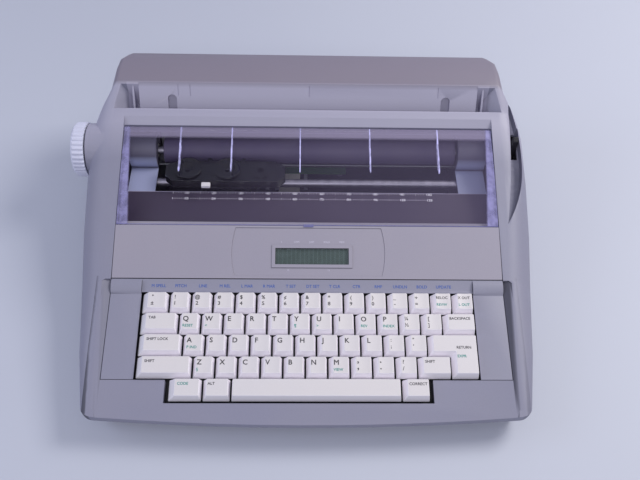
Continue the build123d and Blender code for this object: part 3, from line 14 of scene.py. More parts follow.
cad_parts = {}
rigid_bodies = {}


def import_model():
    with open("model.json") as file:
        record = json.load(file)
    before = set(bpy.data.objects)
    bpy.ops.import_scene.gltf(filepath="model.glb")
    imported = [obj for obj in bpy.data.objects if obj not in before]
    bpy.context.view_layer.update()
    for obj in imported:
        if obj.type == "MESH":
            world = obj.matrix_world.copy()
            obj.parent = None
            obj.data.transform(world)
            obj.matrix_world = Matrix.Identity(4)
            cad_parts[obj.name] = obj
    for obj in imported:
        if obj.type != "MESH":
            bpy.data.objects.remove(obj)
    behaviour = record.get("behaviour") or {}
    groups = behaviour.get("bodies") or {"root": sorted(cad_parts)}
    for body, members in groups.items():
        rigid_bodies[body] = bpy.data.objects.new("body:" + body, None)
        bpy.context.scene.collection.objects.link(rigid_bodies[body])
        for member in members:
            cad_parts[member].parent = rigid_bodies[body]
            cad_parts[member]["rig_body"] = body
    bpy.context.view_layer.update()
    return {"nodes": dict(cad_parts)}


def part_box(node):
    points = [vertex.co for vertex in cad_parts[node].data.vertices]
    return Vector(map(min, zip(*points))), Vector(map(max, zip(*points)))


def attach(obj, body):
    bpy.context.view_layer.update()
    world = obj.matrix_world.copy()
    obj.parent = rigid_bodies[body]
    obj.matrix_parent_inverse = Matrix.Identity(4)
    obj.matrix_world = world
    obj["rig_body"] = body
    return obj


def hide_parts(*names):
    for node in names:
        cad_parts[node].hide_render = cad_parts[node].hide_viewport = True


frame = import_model()
mm = 0.001

# %% [markdown]
# The keyboard gives the reference for everything that is printed: X 0 is the middle of the keys, Y 0 is the
# rear edge of the top row, and the deck slopes up at ten degrees. Two boxes of the frame tell where that is.

# %% Find the keyboard's place
key_pitch = 19.05 * mm
deck_slope = math.radians(10)
deck_rear_z = 50 * mm
row_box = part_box("number_keys")
middle_x = (row_box[0].x + row_box[1].x) / 2
rear_row_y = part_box("upper_case")[1].y - 243 * mm
deck_matrix = Matrix.Translation((middle_x, rear_row_y, deck_rear_z)) @ Matrix.Rotation(deck_slope, 4, "X")
print("keyboard middle", round(middle_x, 5), "rear row", round(rear_row_y, 5))

# %% [markdown]
# Colours are written as sRGB hex values, the way a colour chart gives them. Blender works in linear light, so one
# function turns them over. Another adds one node with its settings and links, which keeps every material below down
# to a few readable lines; an input called _0 or _6 is found by its number. Patterns are scaled by their real size in
# millimetres. Aged plastic has one colour over another, so two more functions lay a colour over a material and tell
# which way a face looks.

# %% Colour and node helpers
def linear(hex_code):
    """Linear RGBA of an sRGB hex colour."""
    channels = [int(hex_code[i : i + 2], 16) / 255 for i in (1, 3, 5)]
    lin = [c / 12.92 if c <= 0.04045 else ((c + 0.055) / 1.055) ** 2.4 for c in channels]
    return (*lin, 1.0)


def add_node(tree, kind, settings=None, **inputs):
    """A new node. Settings are its properties, and each input is a value or another node's output socket."""
    node = tree.nodes.new(kind)
    for name, value in (settings or {}).items():
        setattr(node, name, value)
    for name, value in inputs.items():
        numbered = name[0] == "_" and name[1:].isdigit()
        socket = node.inputs[int(name[1:]) if numbered else name.replace("_", " ")]
        if isinstance(value, bpy.types.NodeSocket):
            tree.links.new(value, socket)
        else:
            socket.default_value = value
    return node


def new_material(name, **values):
    """A material, its tree, its one shader with constant values set on the sockets, and its coordinates."""
    material = bpy.data.materials.new(name)
    material.use_nodes = True
    shader = material.node_tree.nodes["Principled BSDF"]
    for key, value in values.items():
        shader.inputs[key.replace("_", " ")].default_value = value
    place = add_node(material.node_tree, "ShaderNodeTexCoord").outputs["Object"]
    return material, material.node_tree, shader, place


def link(tree, output, shader, name):
    tree.links.new(output, shader.inputs[name])


def per_size(size_mm):
    """Scale of a pattern whose features have this size on the real surface."""
    return 1 / (size_mm * mm)


def laid_over(material, mask, colour):
    """Mix one more colour over a material's own, as far as a mask says."""
    tree = material.node_tree
    shader = tree.nodes["Principled BSDF"]
    under = shader.inputs["Base Color"].links[0].from_socket
    mixed = add_node(tree, "ShaderNodeMix", {"data_type": "RGBA"}, _0=mask, _6=under, _7=linear(colour))
    link(tree, mixed.outputs[2], shader, "Base Color")


def facing(material, axis, start, end, before, after):
    """Mask that goes from one value to another as faces lean more and more along an axis."""
    tree = material.node_tree
    normal = add_node(tree, "ShaderNodeNewGeometry").outputs["Normal"]
    lean = add_node(tree, "ShaderNodeSeparateXYZ", _0=normal).outputs[axis]
    return add_node(tree, "ShaderNodeMapRange", _0=lean, _1=start, _2=end, _3=before, _4=after).outputs[0]


print("middle grey in linear light", round(linear("#808080")[0], 3))

# %% [markdown]
# Nearly everything outside is ABS, an opaque plastic that is injection moulded in a steel tool. The tool's walls
# are spark eroded, which leaves a fine pebble grain of about a third of a millimetre on the part, so it has a soft
# sheen and no sharp reflections. After thirty years ABS yellows a little where light falls, and its corners are
# rubbed smoother. The grain here is drawn at 0.6 mm, so that it shows.

# %% Moulded plastics
def moulded_abs(name, colour, warm, rough=0.52, grain_mm=0.6, depth_mm=0.035):
    """Textured ABS in one colour that drifts towards a warmer one in soft clouds."""
    material, tree, shader, place = new_material(name, IOR=1.54)
    clouds = add_node(tree, "ShaderNodeTexNoise", Vector=place, Scale=per_size(71.43), Detail=3.0).outputs["Fac"]
    grain = add_node(tree, "ShaderNodeTexNoise", Vector=place, Scale=per_size(grain_mm), Detail=2.0).outputs["Fac"]
    drift = add_node(tree, "ShaderNodeMapRange", _0=clouds, _1=0.35, _2=0.7, _3=0.0, _4=0.35).outputs[0]
    tint = add_node(tree, "ShaderNodeMix", {"data_type": "RGBA"}, _0=drift, _6=linear(colour), _7=linear(warm))
    speck = add_node(tree, "ShaderNodeMapRange", _0=grain, _1=0.3, _2=0.7, _3=0.96, _4=1.03).outputs[0]
    shade = add_node(tree, "ShaderNodeVectorMath", {"operation": "SCALE"}, _0=tint.outputs[2], Scale=speck)
    gloss = add_node(tree, "ShaderNodeMapRange", _0=clouds, _1=0.3, _2=0.7, _3=rough - 0.05, _4=rough + 0.06)
    relief = add_node(tree, "ShaderNodeBump", Height=grain, Strength=0.5, Distance=depth_mm * mm)
    link(tree, shade.outputs[0], shader, "Base Color")
    link(tree, gloss.outputs[0], shader, "Roughness")
    link(tree, relief.outputs[0], shader, "Normal")
    return material


case_abs = moulded_abs("case_grey_abs", "#8B8B9F", "#908E9C")
panel_abs = moulded_abs("panel_warm_grey_abs", "#9995A5", "#A09AA6")
pan_abs = moulded_abs("pan_grey_abs", "#8F8DA2", "#95929F")
shelf_abs = moulded_abs("shelf_grey_abs", "#9EA4C6", "#A0A4BE")
key_abs = moulded_abs("keycap_off_white_abs", "#D8D4D8", "#DBD5D3", rough=0.44, grain_mm=0.45, depth_mm=0.018)
knob_abs = moulded_abs("knob_grey_abs", "#CFD1E6", "#CECEDE", rough=0.5)
black_abs = moulded_abs("black_abs", "#1C1B22", "#232027", rough=0.42, depth_mm=0.01)
dark_abs = moulded_abs("scale_plate_dark_abs", "#3B3147", "#43384A", rough=0.5, depth_mm=0.008)
cassette_styrene = moulded_abs("cassette_black_styrene", "#0C0B11", "#131019", rough=0.16, depth_mm=0.0006)
gear_acetal = moulded_abs("gear_white_acetal", "#CFCDC8", "#C9C4B8", rough=0.38, depth_mm=0.01)
print("plastics made", len([m for m in bpy.data.materials if m.name.endswith(("abs", "styrene", "acetal"))]))

# %% [markdown]
# The skirts of the keycaps are painted a cooler, paler colour than the tops: a painted highlight for the cool light
# that falls on their sides. The tops are the faces that look straight up, so the surface normal tells one from the
# other.

# %% Painted highlight on the keycap skirts
# Painted highlight: faces that lean away from straight up get the paler skirt colour.
laid_over(key_abs, facing(key_abs, "Z", 0.8, 0.95, 1.0, 0.0), "#F5F1F8")
print("key plastic", key_abs.name)

# %% [markdown]
# Where two mouldings meet there is a seam of about 0.4 mm, and shade falls on its upright walls; that shade is
# painted on as a dark colour. On the inset pieces, which are seen only from above, every upright face belongs to a
# seam, so the surface normal alone tells where the painted shade goes.

# %% Painted shade in the seams
inset_plastics = (case_abs, panel_abs)
for inset_abs in inset_plastics:
    # Painted shade on every upright face of the inset pieces.
    laid_over(inset_abs, facing(inset_abs, "Z", 0.35, 0.75, 1.0, 0.0), "#24222C")
print("seams darkened", len(inset_plastics))

# %% [markdown]
# The big housing is one moulding in one grey, and light and shade are painted on it in bands. The slopes beside the
# keys get painted shade, the one next to the return key most of all. The deck and the front of the arms keep the base
# grey. Faces that look up from the cross bar back, and the paper wall, get painted light, a paler grey, while the top
# of the rear hump gets painted shade in a browner grey. Masks on the object's own coordinates mix the greys, so the
# bands stay on the plastic.

# %% Housing plastic with painted light and shade in bands
def band(tree, along, start_mm, end_mm, where=1.0):
    """Mask that rises from 0 to 1 between two places along Y, measured from the top key row, times another mask."""
    rising = add_node(
        tree, "ShaderNodeMapRange", _0=along, _1=rear_row_y + start_mm * mm, _2=rear_row_y + end_mm * mm, _3=0.0, _4=1.0
    ).outputs[0]
    return add_node(tree, "ShaderNodeMath", {"operation": "MULTIPLY"}, _0=rising, _1=where).outputs[0]


def near_middle(tree, aside, along, half_wide_mm, end_mm):
    """Mask of all that is near the middle and in front of some place along Y."""
    between = add_node(tree, "ShaderNodeMath", {"operation": "LESS_THAN"}, _0=aside, _1=half_wide_mm * mm)
    ahead = add_node(tree, "ShaderNodeMath", {"operation": "LESS_THAN"}, _0=along, _1=rear_row_y + end_mm * mm)
    return add_node(
        tree, "ShaderNodeMath", {"operation": "MULTIPLY"}, _0=between.outputs[0], _1=ahead.outputs[0]
    ).outputs[0]


def housing_with_painted_light():
    material = moulded_abs("housing_grey_abs_painted_light", "#88889D", "#8E8C9B")
    tree = material.node_tree
    place = add_node(tree, "ShaderNodeTexCoord").outputs["Object"]
    axes = add_node(tree, "ShaderNodeSeparateXYZ", _0=place).outputs
    along = axes["Y"]
    off_middle = add_node(tree, "ShaderNodeMath", {"operation": "SUBTRACT"}, _0=axes["X"], _1=middle_x).outputs[0]
    aside = add_node(tree, "ShaderNodeMath", {"operation": "ABSOLUTE"}, _0=off_middle).outputs[0]
    facing_up = facing(material, "Z", 0.15, 0.5, 0.0, 1.0)
    left_slope = facing(material, "X", 0.2, 0.34, 0.0, 0.3)
    right_slope = facing(material, "X", -0.34, -0.2, 1.0, 0.0)
    leaning = add_node(tree, "ShaderNodeMath", _0=left_slope, _1=right_slope).outputs[0]
    recess = near_middle(tree, aside, along, half_wide_mm=186, end_mm=14)
    chute = near_middle(tree, aside, along, half_wide_mm=172, end_mm=194)
    painted_slope_shade = add_node(tree, "ShaderNodeMath", {"operation": "MULTIPLY"}, _0=leaning, _1=recess).outputs[0]
    # Painted shade on the slopes beside the keys, strongest on the right one.
    laid_over(material, painted_slope_shade, "#484858")
    # Painted light on up-facing faces from the cross bar back and on the paper wall; painted shade on the hump's top.
    laid_over(material, band(tree, along, 120, 156, facing_up), "#A3A1B5")
    laid_over(material, band(tree, along, 167, 170, chute), "#B2AFC4")
    laid_over(material, band(tree, along, 186, 190, facing_up), "#837C8B")
    return material


housing_abs = housing_with_painted_light()
print("housing", housing_abs.name)

# %% [markdown]
# The two platen covers are one moulding each: a flat shelf in front and a half round hood behind it. The hood is
# painted darker from where the shelf ends, a painted shade for its curved top beside the ribbon and the platen. The
# scale plate has a painted highlight along its rear edge, a thin pale line where the light catches it. The inside of
# the pan is painted dark as painted shade; it covers every face that looks up.

# %% Painted shade on the hood and in the pan, painted highlight on the plate's edge
def banded(material, colour, start_mm, end_mm):
    """Lay a second colour over a moulding from some place along Y on."""
    tree = material.node_tree
    place = add_node(tree, "ShaderNodeTexCoord").outputs["Object"]
    along = add_node(tree, "ShaderNodeSeparateXYZ", _0=place).outputs["Y"]
    laid_over(material, band(tree, along, start_mm, end_mm), colour)


# Painted shade on the hood behind the shelf.
banded(shelf_abs, "#57546A", 131, 133)
# Painted highlight along the scale plate's rear edge.
banded(dark_abs, "#A39DB6", 102.2, 102.6)
# Painted shade on every up-facing face inside the pan.
laid_over(pan_abs, facing(pan_abs, "Z", 0.3, 0.5, 0.0, 1.0), "#2B2833")
print("second colours on", shelf_abs.name, dark_abs.name, pan_abs.name)

# %% [markdown]
# The cover over the carriage is violet tinted acrylic, injection moulded and polished like glass. Seen square on it
# is quite clear, and the bay shows through with a film of dust. Where the plastic is thick or seen edge on, in the
# ribs, the side walls, the hinge barrel and the front edge, the tint is many times deeper. On the ribs, the side walls
# and the hinge barrel a paler, bluer colour is painted as well: a painted highlight for light that is caught in the
# sheet and comes out there. Masks from the piece's own coordinates put the deeper tint and the painted highlight there.
# A see-through alpha is used rather than refraction, because a 2 mm sheet bends almost nothing and alpha lets the
# light in.

# %% Masks on the cover
bay_half = 173.0 * mm
rib_places = (-120.0, -72.0, -8.0, 57.5, 121.5)
rib_half = 0.55 * mm
rib_front_y = rear_row_y + 109.0 * mm
cover_front_y = rear_row_y + 59.5 * mm
hinge_y = rear_row_y + 153.0 * mm
wall_taper = 5.0 * mm
deep_start, deep_full = 11.0 * mm, 9.5 * mm


def rib_mask(tree, across, along):
    """The five thin ribs, from where they begin back to the hinge."""
    ribs = 0.0
    for x in rib_places:
        aside = add_node(tree, "ShaderNodeMath", {"operation": "SUBTRACT"}, _0=across, _1=x * mm).outputs[0]
        near = add_node(tree, "ShaderNodeMath", {"operation": "ABSOLUTE"}, _0=aside).outputs[0]
        rib = add_node(tree, "ShaderNodeMath", {"operation": "LESS_THAN"}, _0=near, _1=rib_half).outputs[0]
        ribs = add_node(tree, "ShaderNodeMath", _0=ribs, _1=rib).outputs[0]
    behind = add_node(tree, "ShaderNodeMath", {"operation": "GREATER_THAN"}, _0=along, _1=rib_front_y).outputs[0]
    return add_node(tree, "ShaderNodeMath", {"operation": "MULTIPLY"}, _0=ribs, _1=behind).outputs[0]


def wall_mask(tree, across, along):
    """The two side walls, which stand further apart towards the hinge."""
    from_middle = add_node(tree, "ShaderNodeMath", {"operation": "ABSOLUTE"}, _0=across).outputs[0]
    taper = add_node(
        tree, "ShaderNodeMapRange", _0=along, _1=cover_front_y, _2=hinge_y, _3=0.0, _4=wall_taper
    ).outputs[0]
    aside = add_node(tree, "ShaderNodeMath", {"operation": "SUBTRACT"}, _0=from_middle, _1=taper).outputs[0]
    return add_node(
        tree, "ShaderNodeMapRange", _0=aside, _1=bay_half - deep_start, _2=bay_half - deep_full, _3=0.0, _4=0.55
    ).outputs[0]


print("ribs", len(rib_places))

# %% [markdown]
# The sheet itself is a weak violet veil with clouds of dust in it, painted stronger to the right, where the light
# comes from, as painted light. Over that come the hinge barrel, the walls, the front edge and the ribs, each with its
# own colour, and with a strength that glitters along the walls and ribs: painted highlights for caught light.

# %% Tinted acrylic with painted light
def smoked_sheet():
    material, tree, shader, place = new_material(
        "cover_tinted_acrylic", Roughness=0.06, IOR=1.49, Coat_Weight=0.5, Coat_Roughness=0.04
    )
    axes = add_node(tree, "ShaderNodeSeparateXYZ", _0=place).outputs
    along = axes["Y"]
    across = add_node(tree, "ShaderNodeMath", {"operation": "SUBTRACT"}, _0=axes["X"], _1=middle_x).outputs[0]
    dust = add_node(tree, "ShaderNodeTexNoise", Vector=place, Scale=per_size(111.1), Detail=4.0).outputs["Fac"]
    # Painted light: the veil grows stronger towards the right.
    veil = add_node(tree, "ShaderNodeMapRange", _0=across, _1=-0.15, _2=0.12, _3=0.0, _4=0.13).outputs[0]
    cloud = add_node(tree, "ShaderNodeMapRange", _0=dust, _1=0.3, _2=0.7, _3=0.8, _4=1.2).outputs[0]
    film = add_node(tree, "ShaderNodeMath", {"operation": "MULTIPLY"}, _0=veil, _1=cloud).outputs[0]
    streak = add_node(tree, "ShaderNodeTexNoise", Vector=place, Scale=per_size(8.333), Detail=2.0).outputs["Fac"]
    gleam = add_node(tree, "ShaderNodeMapRange", _0=streak, _1=0.4, _2=0.65, _3=0.55, _4=1.1).outputs[0]
    glint = add_node(tree, "ShaderNodeMapRange", _0=streak, _1=0.42, _2=0.6, _3=0.25, _4=0.85).outputs[0]
    barrel = add_node(
        tree, "ShaderNodeMapRange", _0=along, _1=hinge_y - deep_start, _2=hinge_y - deep_full, _3=0.0, _4=0.36
    ).outputs[0]
    front = add_node(tree, "ShaderNodeMath", {"operation": "LESS_THAN"}, _0=along, _1=cover_front_y).outputs[0]
    # Painted highlights on the barrel, walls and ribs; the front edge has a deeper tint.
    layers = (
        (barrel, 1.0, "#D3CAE6"),
        (wall_mask(tree, across, along), gleam, "#B9B8F4"),
        (front, 0.6, "#7A7AAE"),
        (rib_mask(tree, across, along), glint, "#CFCCFF"),
    )
    colour, deepest = linear("#857B9E"), 0.0
    for mask, strength, lit in layers:
        deep = add_node(tree, "ShaderNodeMath", {"operation": "MULTIPLY"}, _0=mask, _1=strength).outputs[0]
        deepest = add_node(tree, "ShaderNodeMath", {"operation": "MAXIMUM"}, _0=deepest, _1=deep).outputs[0]
        colour = add_node(
            tree, "ShaderNodeMix", {"data_type": "RGBA"}, _0=mask, _6=colour, _7=linear(lit)
        ).outputs[2]
    alpha = add_node(tree, "ShaderNodeMath", {"operation": "ADD", "use_clamp": True}, _0=film, _1=deepest).outputs[0]
    link(tree, colour, shader, "Base Color")
    link(tree, alpha, shader, "Alpha")
    return material


def window_sheet():
    material, tree, shader, place = new_material(
        "window_clear_acrylic", Base_Color=linear("#77858A"), Roughness=0.05, IOR=1.49
    )
    dust = add_node(tree, "ShaderNodeTexNoise", Vector=place, Scale=per_size(4.545), Detail=4.0).outputs["Fac"]
    film = add_node(tree, "ShaderNodeMapRange", _0=dust, _1=0.4, _2=0.75, _3=0.12, _4=0.22).outputs[0]
    link(tree, film, shader, "Alpha")
    return material


smoked_acrylic = smoked_sheet()
clear_acrylic = window_sheet()
print("clear plastics", smoked_acrylic.name, clear_acrylic.name)

# %% [markdown]
# The display is reflective liquid crystal: a grey green glass, darker where it stands idle, with the faint outline
# of each character cell. One line of sixteen cells is drawn with a wave of the glass's own coordinates.

# %% Display glass
def display_glass():
    material, tree, shader, place = new_material("display_liquid_crystal", Roughness=0.22, IOR=1.52)
    axes = add_node(tree, "ShaderNodeSeparateXYZ", _0=place)
    cell, gap_start, gap_end = 3.9 * mm, 0.35 * mm, 0.6 * mm
    across = add_node(tree, "ShaderNodeMath", {"operation": "PINGPONG"}, _0=axes.outputs["X"], _1=cell / 2).outputs[0]
    gap = add_node(tree, "ShaderNodeMapRange", _0=across, _1=gap_start, _2=gap_end, _3=0.0, _4=1.0).outputs[0]
    cloud = add_node(tree, "ShaderNodeTexNoise", Vector=place, Scale=per_size(16.67), Detail=2.0).outputs["Fac"]
    glass = add_node(tree, "ShaderNodeMix", {"data_type": "RGBA"}, _0=cloud, _6=linear("#3C4A46"), _7=linear("#4E5C5A"))
    cells = add_node(tree, "ShaderNodeMix", {"data_type": "RGBA"}, _0=gap, _6=linear("#51605E"), _7=glass.outputs[2])
    link(tree, cells.outputs[2], shader, "Base Color")
    return material


display_lcd = display_glass()
print("display", display_lcd.name)

# %% [markdown]
# Metals and rubbers inside: shafts and the rail are ground steel, whose grinding marks run round them, the side
# plates are zinc plated sheet, and the platen is a ground rubber sleeve that scatters light almost evenly.

# %% Metals and rubbers
def steel(name, colour, rough, scratch_mm, stretch):
    """Worked steel with marks that run across one axis."""
    material, tree, shader, place = new_material(name, Metallic=1.0)
    slide = add_node(tree, "ShaderNodeMapping", _0=place, Scale=stretch).outputs[0]
    marks = add_node(tree, "ShaderNodeTexNoise", Vector=slide, Scale=per_size(scratch_mm), Detail=3.0).outputs["Fac"]
    tone = add_node(tree, "ShaderNodeMapRange", _0=marks, _1=0.3, _2=0.7, _3=0.82, _4=1.08).outputs[0]
    shade = add_node(tree, "ShaderNodeVectorMath", {"operation": "SCALE"}, _0=linear(colour)[:3], Scale=tone)
    gloss = add_node(tree, "ShaderNodeMapRange", _0=marks, _1=0.3, _2=0.7, _3=rough - 0.06, _4=rough + 0.08)
    link(tree, shade.outputs[0], shader, "Base Color")
    link(tree, gloss.outputs[0], shader, "Roughness")
    return material


def rubber(name, colour, rough=0.75, grain_mm=0.3):
    """Ground or moulded rubber with a fine matt grain and a trace of dust."""
    material, tree, shader, place = new_material(name, Roughness=rough, IOR=1.52)
    grain = add_node(tree, "ShaderNodeTexNoise", Vector=place, Scale=per_size(grain_mm), Detail=2.0).outputs["Fac"]
    dust = add_node(tree, "ShaderNodeTexNoise", Vector=place, Scale=per_size(28.57), Detail=4.0).outputs["Fac"]
    veil = add_node(tree, "ShaderNodeMapRange", _0=dust, _1=0.45, _2=0.75, _3=0.0, _4=0.22).outputs[0]
    tint = add_node(tree, "ShaderNodeMix", {"data_type": "RGBA"}, _0=veil, _6=linear(colour), _7=linear("#6A6670"))
    relief = add_node(tree, "ShaderNodeBump", Height=grain, Strength=0.4, Distance=0.03 * mm)
    link(tree, tint.outputs[2], shader, "Base Color")
    link(tree, relief.outputs[0], shader, "Normal")
    return material


ground_steel = steel("ground_shaft_steel", "#A9A6B6", 0.48, 6.0, (1.0, 0.2, 0.2))
zinc_sheet = steel("zinc_plated_sheet_steel", "#8E9096", 0.38, 1.2, (1.0, 1.0, 1.0))
motor_steel = steel("motor_can_steel", "#77787E", 0.42, 0.8, (1.0, 1.0, 0.2))
dark_screw = steel("blackened_screw_steel", "#45454A", 0.4, 0.6, (1.0, 1.0, 1.0))
platen_rubber = rubber("platen_ground_rubber", "#4A4160", 0.62)
feed_rubber = rubber("pressure_roller_rubber", "#2E2C31")
foot_rubber = rubber("foot_moulded_rubber", "#17171A", 0.8, 0.5)
steels = (ground_steel, zinc_sheet, motor_steel, dark_screw)
rubbers = (platen_rubber, feed_rubber, foot_rubber)
print("metals", len(steels), "rubbers", len(rubbers))

# %% [markdown]
# Circuit boards are glass cloth in green solder resist, and a transformer is a stack of varnished iron sheets
# 0.5 mm thick, whose edges show as fine lines. Both hide inside, but show when the housing is taken off.

# %% Board and transformer
def solder_resist():
    material, tree, shader, place = new_material("board_green_solder_resist", Roughness=0.3)
    tracks = add_node(
        tree, "ShaderNodeTexBrick", Vector=place, Scale=per_size(3.846), Mortar_Size=0.03,
        Color1=linear("#2F5B3B"), Color2=linear("#35643F"), Mortar=linear("#5C8A58"),
    )
    link(tree, tracks.outputs["Color"], shader, "Base Color")
    return material


def iron_stack():
    material, tree, shader, place = new_material("transformer_varnished_iron", Roughness=0.35, Metallic=0.6)
    axes = add_node(tree, "ShaderNodeSeparateXYZ", _0=place)
    half = 0.25 * mm
    sheet = add_node(tree, "ShaderNodeMath", {"operation": "PINGPONG"}, _0=axes.outputs["Z"], _1=half).outputs[0]
    edge = add_node(tree, "ShaderNodeMapRange", _0=sheet, _1=0.0, _2=half, _3=0.0, _4=1.0).outputs[0]
    tint = add_node(tree, "ShaderNodeMix", {"data_type": "RGBA"}, _0=edge, _6=linear("#26221F"), _7=linear("#57504A"))
    link(tree, tint.outputs[2], shader, "Base Color")
    return material


board_resist = solder_resist()
transformer_iron = iron_stack()
print("board and transformer", board_resist.name, transformer_iron.name)

# %% [markdown]
# Printing inks are thin and matt: black and green on the keys, blue on the strip behind them, pale grey round the
# display, and near white on the margin scale. A slight unevenness keeps them from looking like flat stickers.

# %% Printing inks
def ink(name, colour, worn):
    material, tree, shader, place = new_material(name, Roughness=0.55)
    wear = add_node(tree, "ShaderNodeTexNoise", Vector=place, Scale=per_size(1.111), Detail=2.0).outputs["Fac"]
    mask = add_node(tree, "ShaderNodeMapRange", _0=wear, _1=0.5, _2=0.8, _3=0.0, _4=0.35).outputs[0]
    tint = add_node(tree, "ShaderNodeMix", {"data_type": "RGBA"}, _0=mask, _6=linear(colour), _7=linear(worn))
    link(tree, tint.outputs[2], shader, "Base Color")
    return material


black_ink = ink("ink_black_key_legend", "#24222E", "#4A4855")
green_ink = ink("ink_green_key_legend", "#008A83", "#3F9C98")
blue_ink = ink("ink_blue_strip_label", "#3C5CA6", "#5F76AE")
pale_ink = ink("ink_pale_panel_label", "#C4C0D2", "#B4B0C2")
scale_ink = ink("ink_white_scale_mark", "#E2DFEA", "#9D98AA")
print("inks", len([m for m in bpy.data.materials if m.name.startswith("ink_")]))

# %% [markdown]
# A solid from the frame is loose flat triangles with knife sharp edges. A real moulding has small radii on every
# edge, which catch the light and make it read as a made thing. So each piece here is a merged copy: doubles are
# joined, flat areas become single faces, and a Bevel modifier rounds the edges by the radius that the tool or the
# machining leaves. The copy stands for the node and rides on the same body.

# %% Rounded copies of the solids
def merged_copy(node, name):
    """Copy of a node's mesh with joined vertices and flat areas dissolved."""
    source = frame["nodes"][node].data
    mesh = bpy.data.meshes.new(name)
    work = bmesh.new()
    work.from_mesh(source)
    bmesh.ops.remove_doubles(work, verts=work.verts, dist=2e-6)
    bmesh.ops.dissolve_limit(work, angle_limit=math.radians(0.6), verts=work.verts, edges=work.edges)
    work.to_mesh(mesh)
    work.free()
    mesh.materials.clear()
    return mesh


def node_body(node):
    return frame["nodes"][node]["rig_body"]


def new_object(name, data):
    """Object for some data, in the scene."""
    thing = bpy.data.objects.new(name, data)
    bpy.context.scene.collection.objects.link(thing)
    return thing


def new_piece(name, mesh, body):
    """Object for a finished mesh, riding on a body."""
    piece = new_object(name, mesh)
    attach(piece, body)
    return piece


def final_mesh(thing):
    """Mesh of an object as its modifiers leave it."""
    return bpy.data.meshes.new_from_object(thing.evaluated_get(bpy.context.evaluated_depsgraph_get()))


def rounded(node, material, radius_mm, segments=2, sharp=28):
    """Bevelled, smooth shaded stand-in for a node."""
    name = "moulded_" + node
    mesh = merged_copy(node, name)
    piece = new_object(name, mesh)
    mesh.materials.append(material)
    for face in mesh.polygons:
        face.use_smooth = True
    mesh.set_sharp_from_angle(angle=math.radians(sharp))
    if radius_mm:
        bevel = piece.modifiers.new("edge_radius", "BEVEL")
        bevel.width = radius_mm * mm
        bevel.segments = segments
        bevel.limit_method = "ANGLE"
        bevel.angle_limit = math.radians(sharp)
        bevel.harden_normals = True
        bevel.use_clamp_overlap = True
        flat = final_mesh(piece)
        piece.modifiers.clear()
        piece.data = flat
    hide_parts(node)
    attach(piece, node_body(node))
    return piece


print("solids to dress", len(frame["nodes"]))

# %% [markdown]
# Each node has its material and the radius of its edges in millimetres. With 0 they stay sharp, as on thin sheets.

# %% Finish of each node
finishes = {
    "upper_case": (housing_abs, 0.7),
    "lower_case": (pan_abs, 0.5),
    "keyboard_frame": (case_abs, 0.4),
    "display_panel": (panel_abs, 0.4),
    "display_window": (clear_acrylic, 0.0),
    "lcd_module": (display_lcd, 0.0),
    "dust_cover": (smoked_acrylic, 0.35),
    "scale_plate": (dark_abs, 0.25),
    "left_platen_cover": (shelf_abs, 0.25),
    "right_platen_cover": (shelf_abs, 0.25),
    "platen_roller": (platen_rubber, 0.3),
    "platen_shaft": (ground_steel, 0.3),
    "platen_knob": (knob_abs, 0.25),
    "platen_gear": (gear_acetal, 0.08),
    "idler_gear": (gear_acetal, 0.08),
    "motor_pinion": (gear_acetal, 0.08),
    "platen_bushes": (gear_acetal, 0.2),
    "feed_rollers": (feed_rubber, 0.2),
    "paper_pan": (zinc_sheet, 0.1),
    "left_side_plate": (zinc_sheet, 0.15),
    "right_side_plate": (zinc_sheet, 0.15),
    "feed_motor": (motor_steel, 0.3),
    "carriage_rail": (ground_steel, 0.3),
    "guide_rail": (zinc_sheet, 0.2),
    "carriage_frame": (black_abs, 0.25),
    "ribbon_cassette": (cassette_styrene, 0.6),
    "wheel_motor": (motor_steel, 0.3),
    "daisy_wheel": (black_abs, 0.0),
    "print_hammer": (ground_steel, 0.2),
    "supply_reel": (gear_acetal, 0.15),
    "takeup_reel": (gear_acetal, 0.15),
    "timing_belt": (foot_rubber, 0.1),
    "drive_pulley": (gear_acetal, 0.15),
    "idler_pulley": (gear_acetal, 0.15),
    "carriage_motor": (motor_steel, 0.4),
    "release_lever": (black_abs, 0.4),
    "power_switch": (black_abs, 0.3),
    "switch_body": (black_abs, 0.3),
    "cord_inlet": (foot_rubber, 0.4),
    "main_board": (board_resist, 0.1),
    "transformer": (transformer_iron, 0.5),
    "flat_cable": (gear_acetal, 0.0),
    "rubber_feet": (foot_rubber, 0.5),
    "case_screws": (dark_screw, 0.2),
    "keyboard_plate": (black_abs, 0.2),
    "dome_sheet": (feed_rubber, 0.0),
}
dressed = {node: rounded(node, *finish) for node, finish in finishes.items()}
print("dressed pieces", len(dressed), "faces", sum(len(piece.data.polygons) for piece in dressed.values()))

# %% [markdown]
# Keycaps are double curved little mouldings with soft edges of about half a millimetre. All of one row ride on one
# body, as the frame has them.

# %% Keycaps
key_nodes = sorted(n for n in frame["nodes"] if n not in finishes)
keycaps = {node: rounded(node, key_abs, 0.45, segments=3, sharp=24) for node in key_nodes}
print("keycap nodes", len(keycaps))

# %% [markdown]
# Legends are printed on the finished caps, so they must follow the shallow dish of each top. Each word is a text
# curve made into a mesh, cut small enough to bend, and dropped onto the cap from above with a ray for every
# vertex. The outline is moved out a little first, because the strokes of the real legends are bolder than the font's.
# The ink stands 0.06 mm proud, more than real ink does, so that it shows.

# %% Text as a mesh
capital_share = 0.70
least_step = 0.006
stroke_growth = 0.028
longest_edge = 0.6 * mm
print_lift = 0.06 * mm
drop_from = 30 * mm


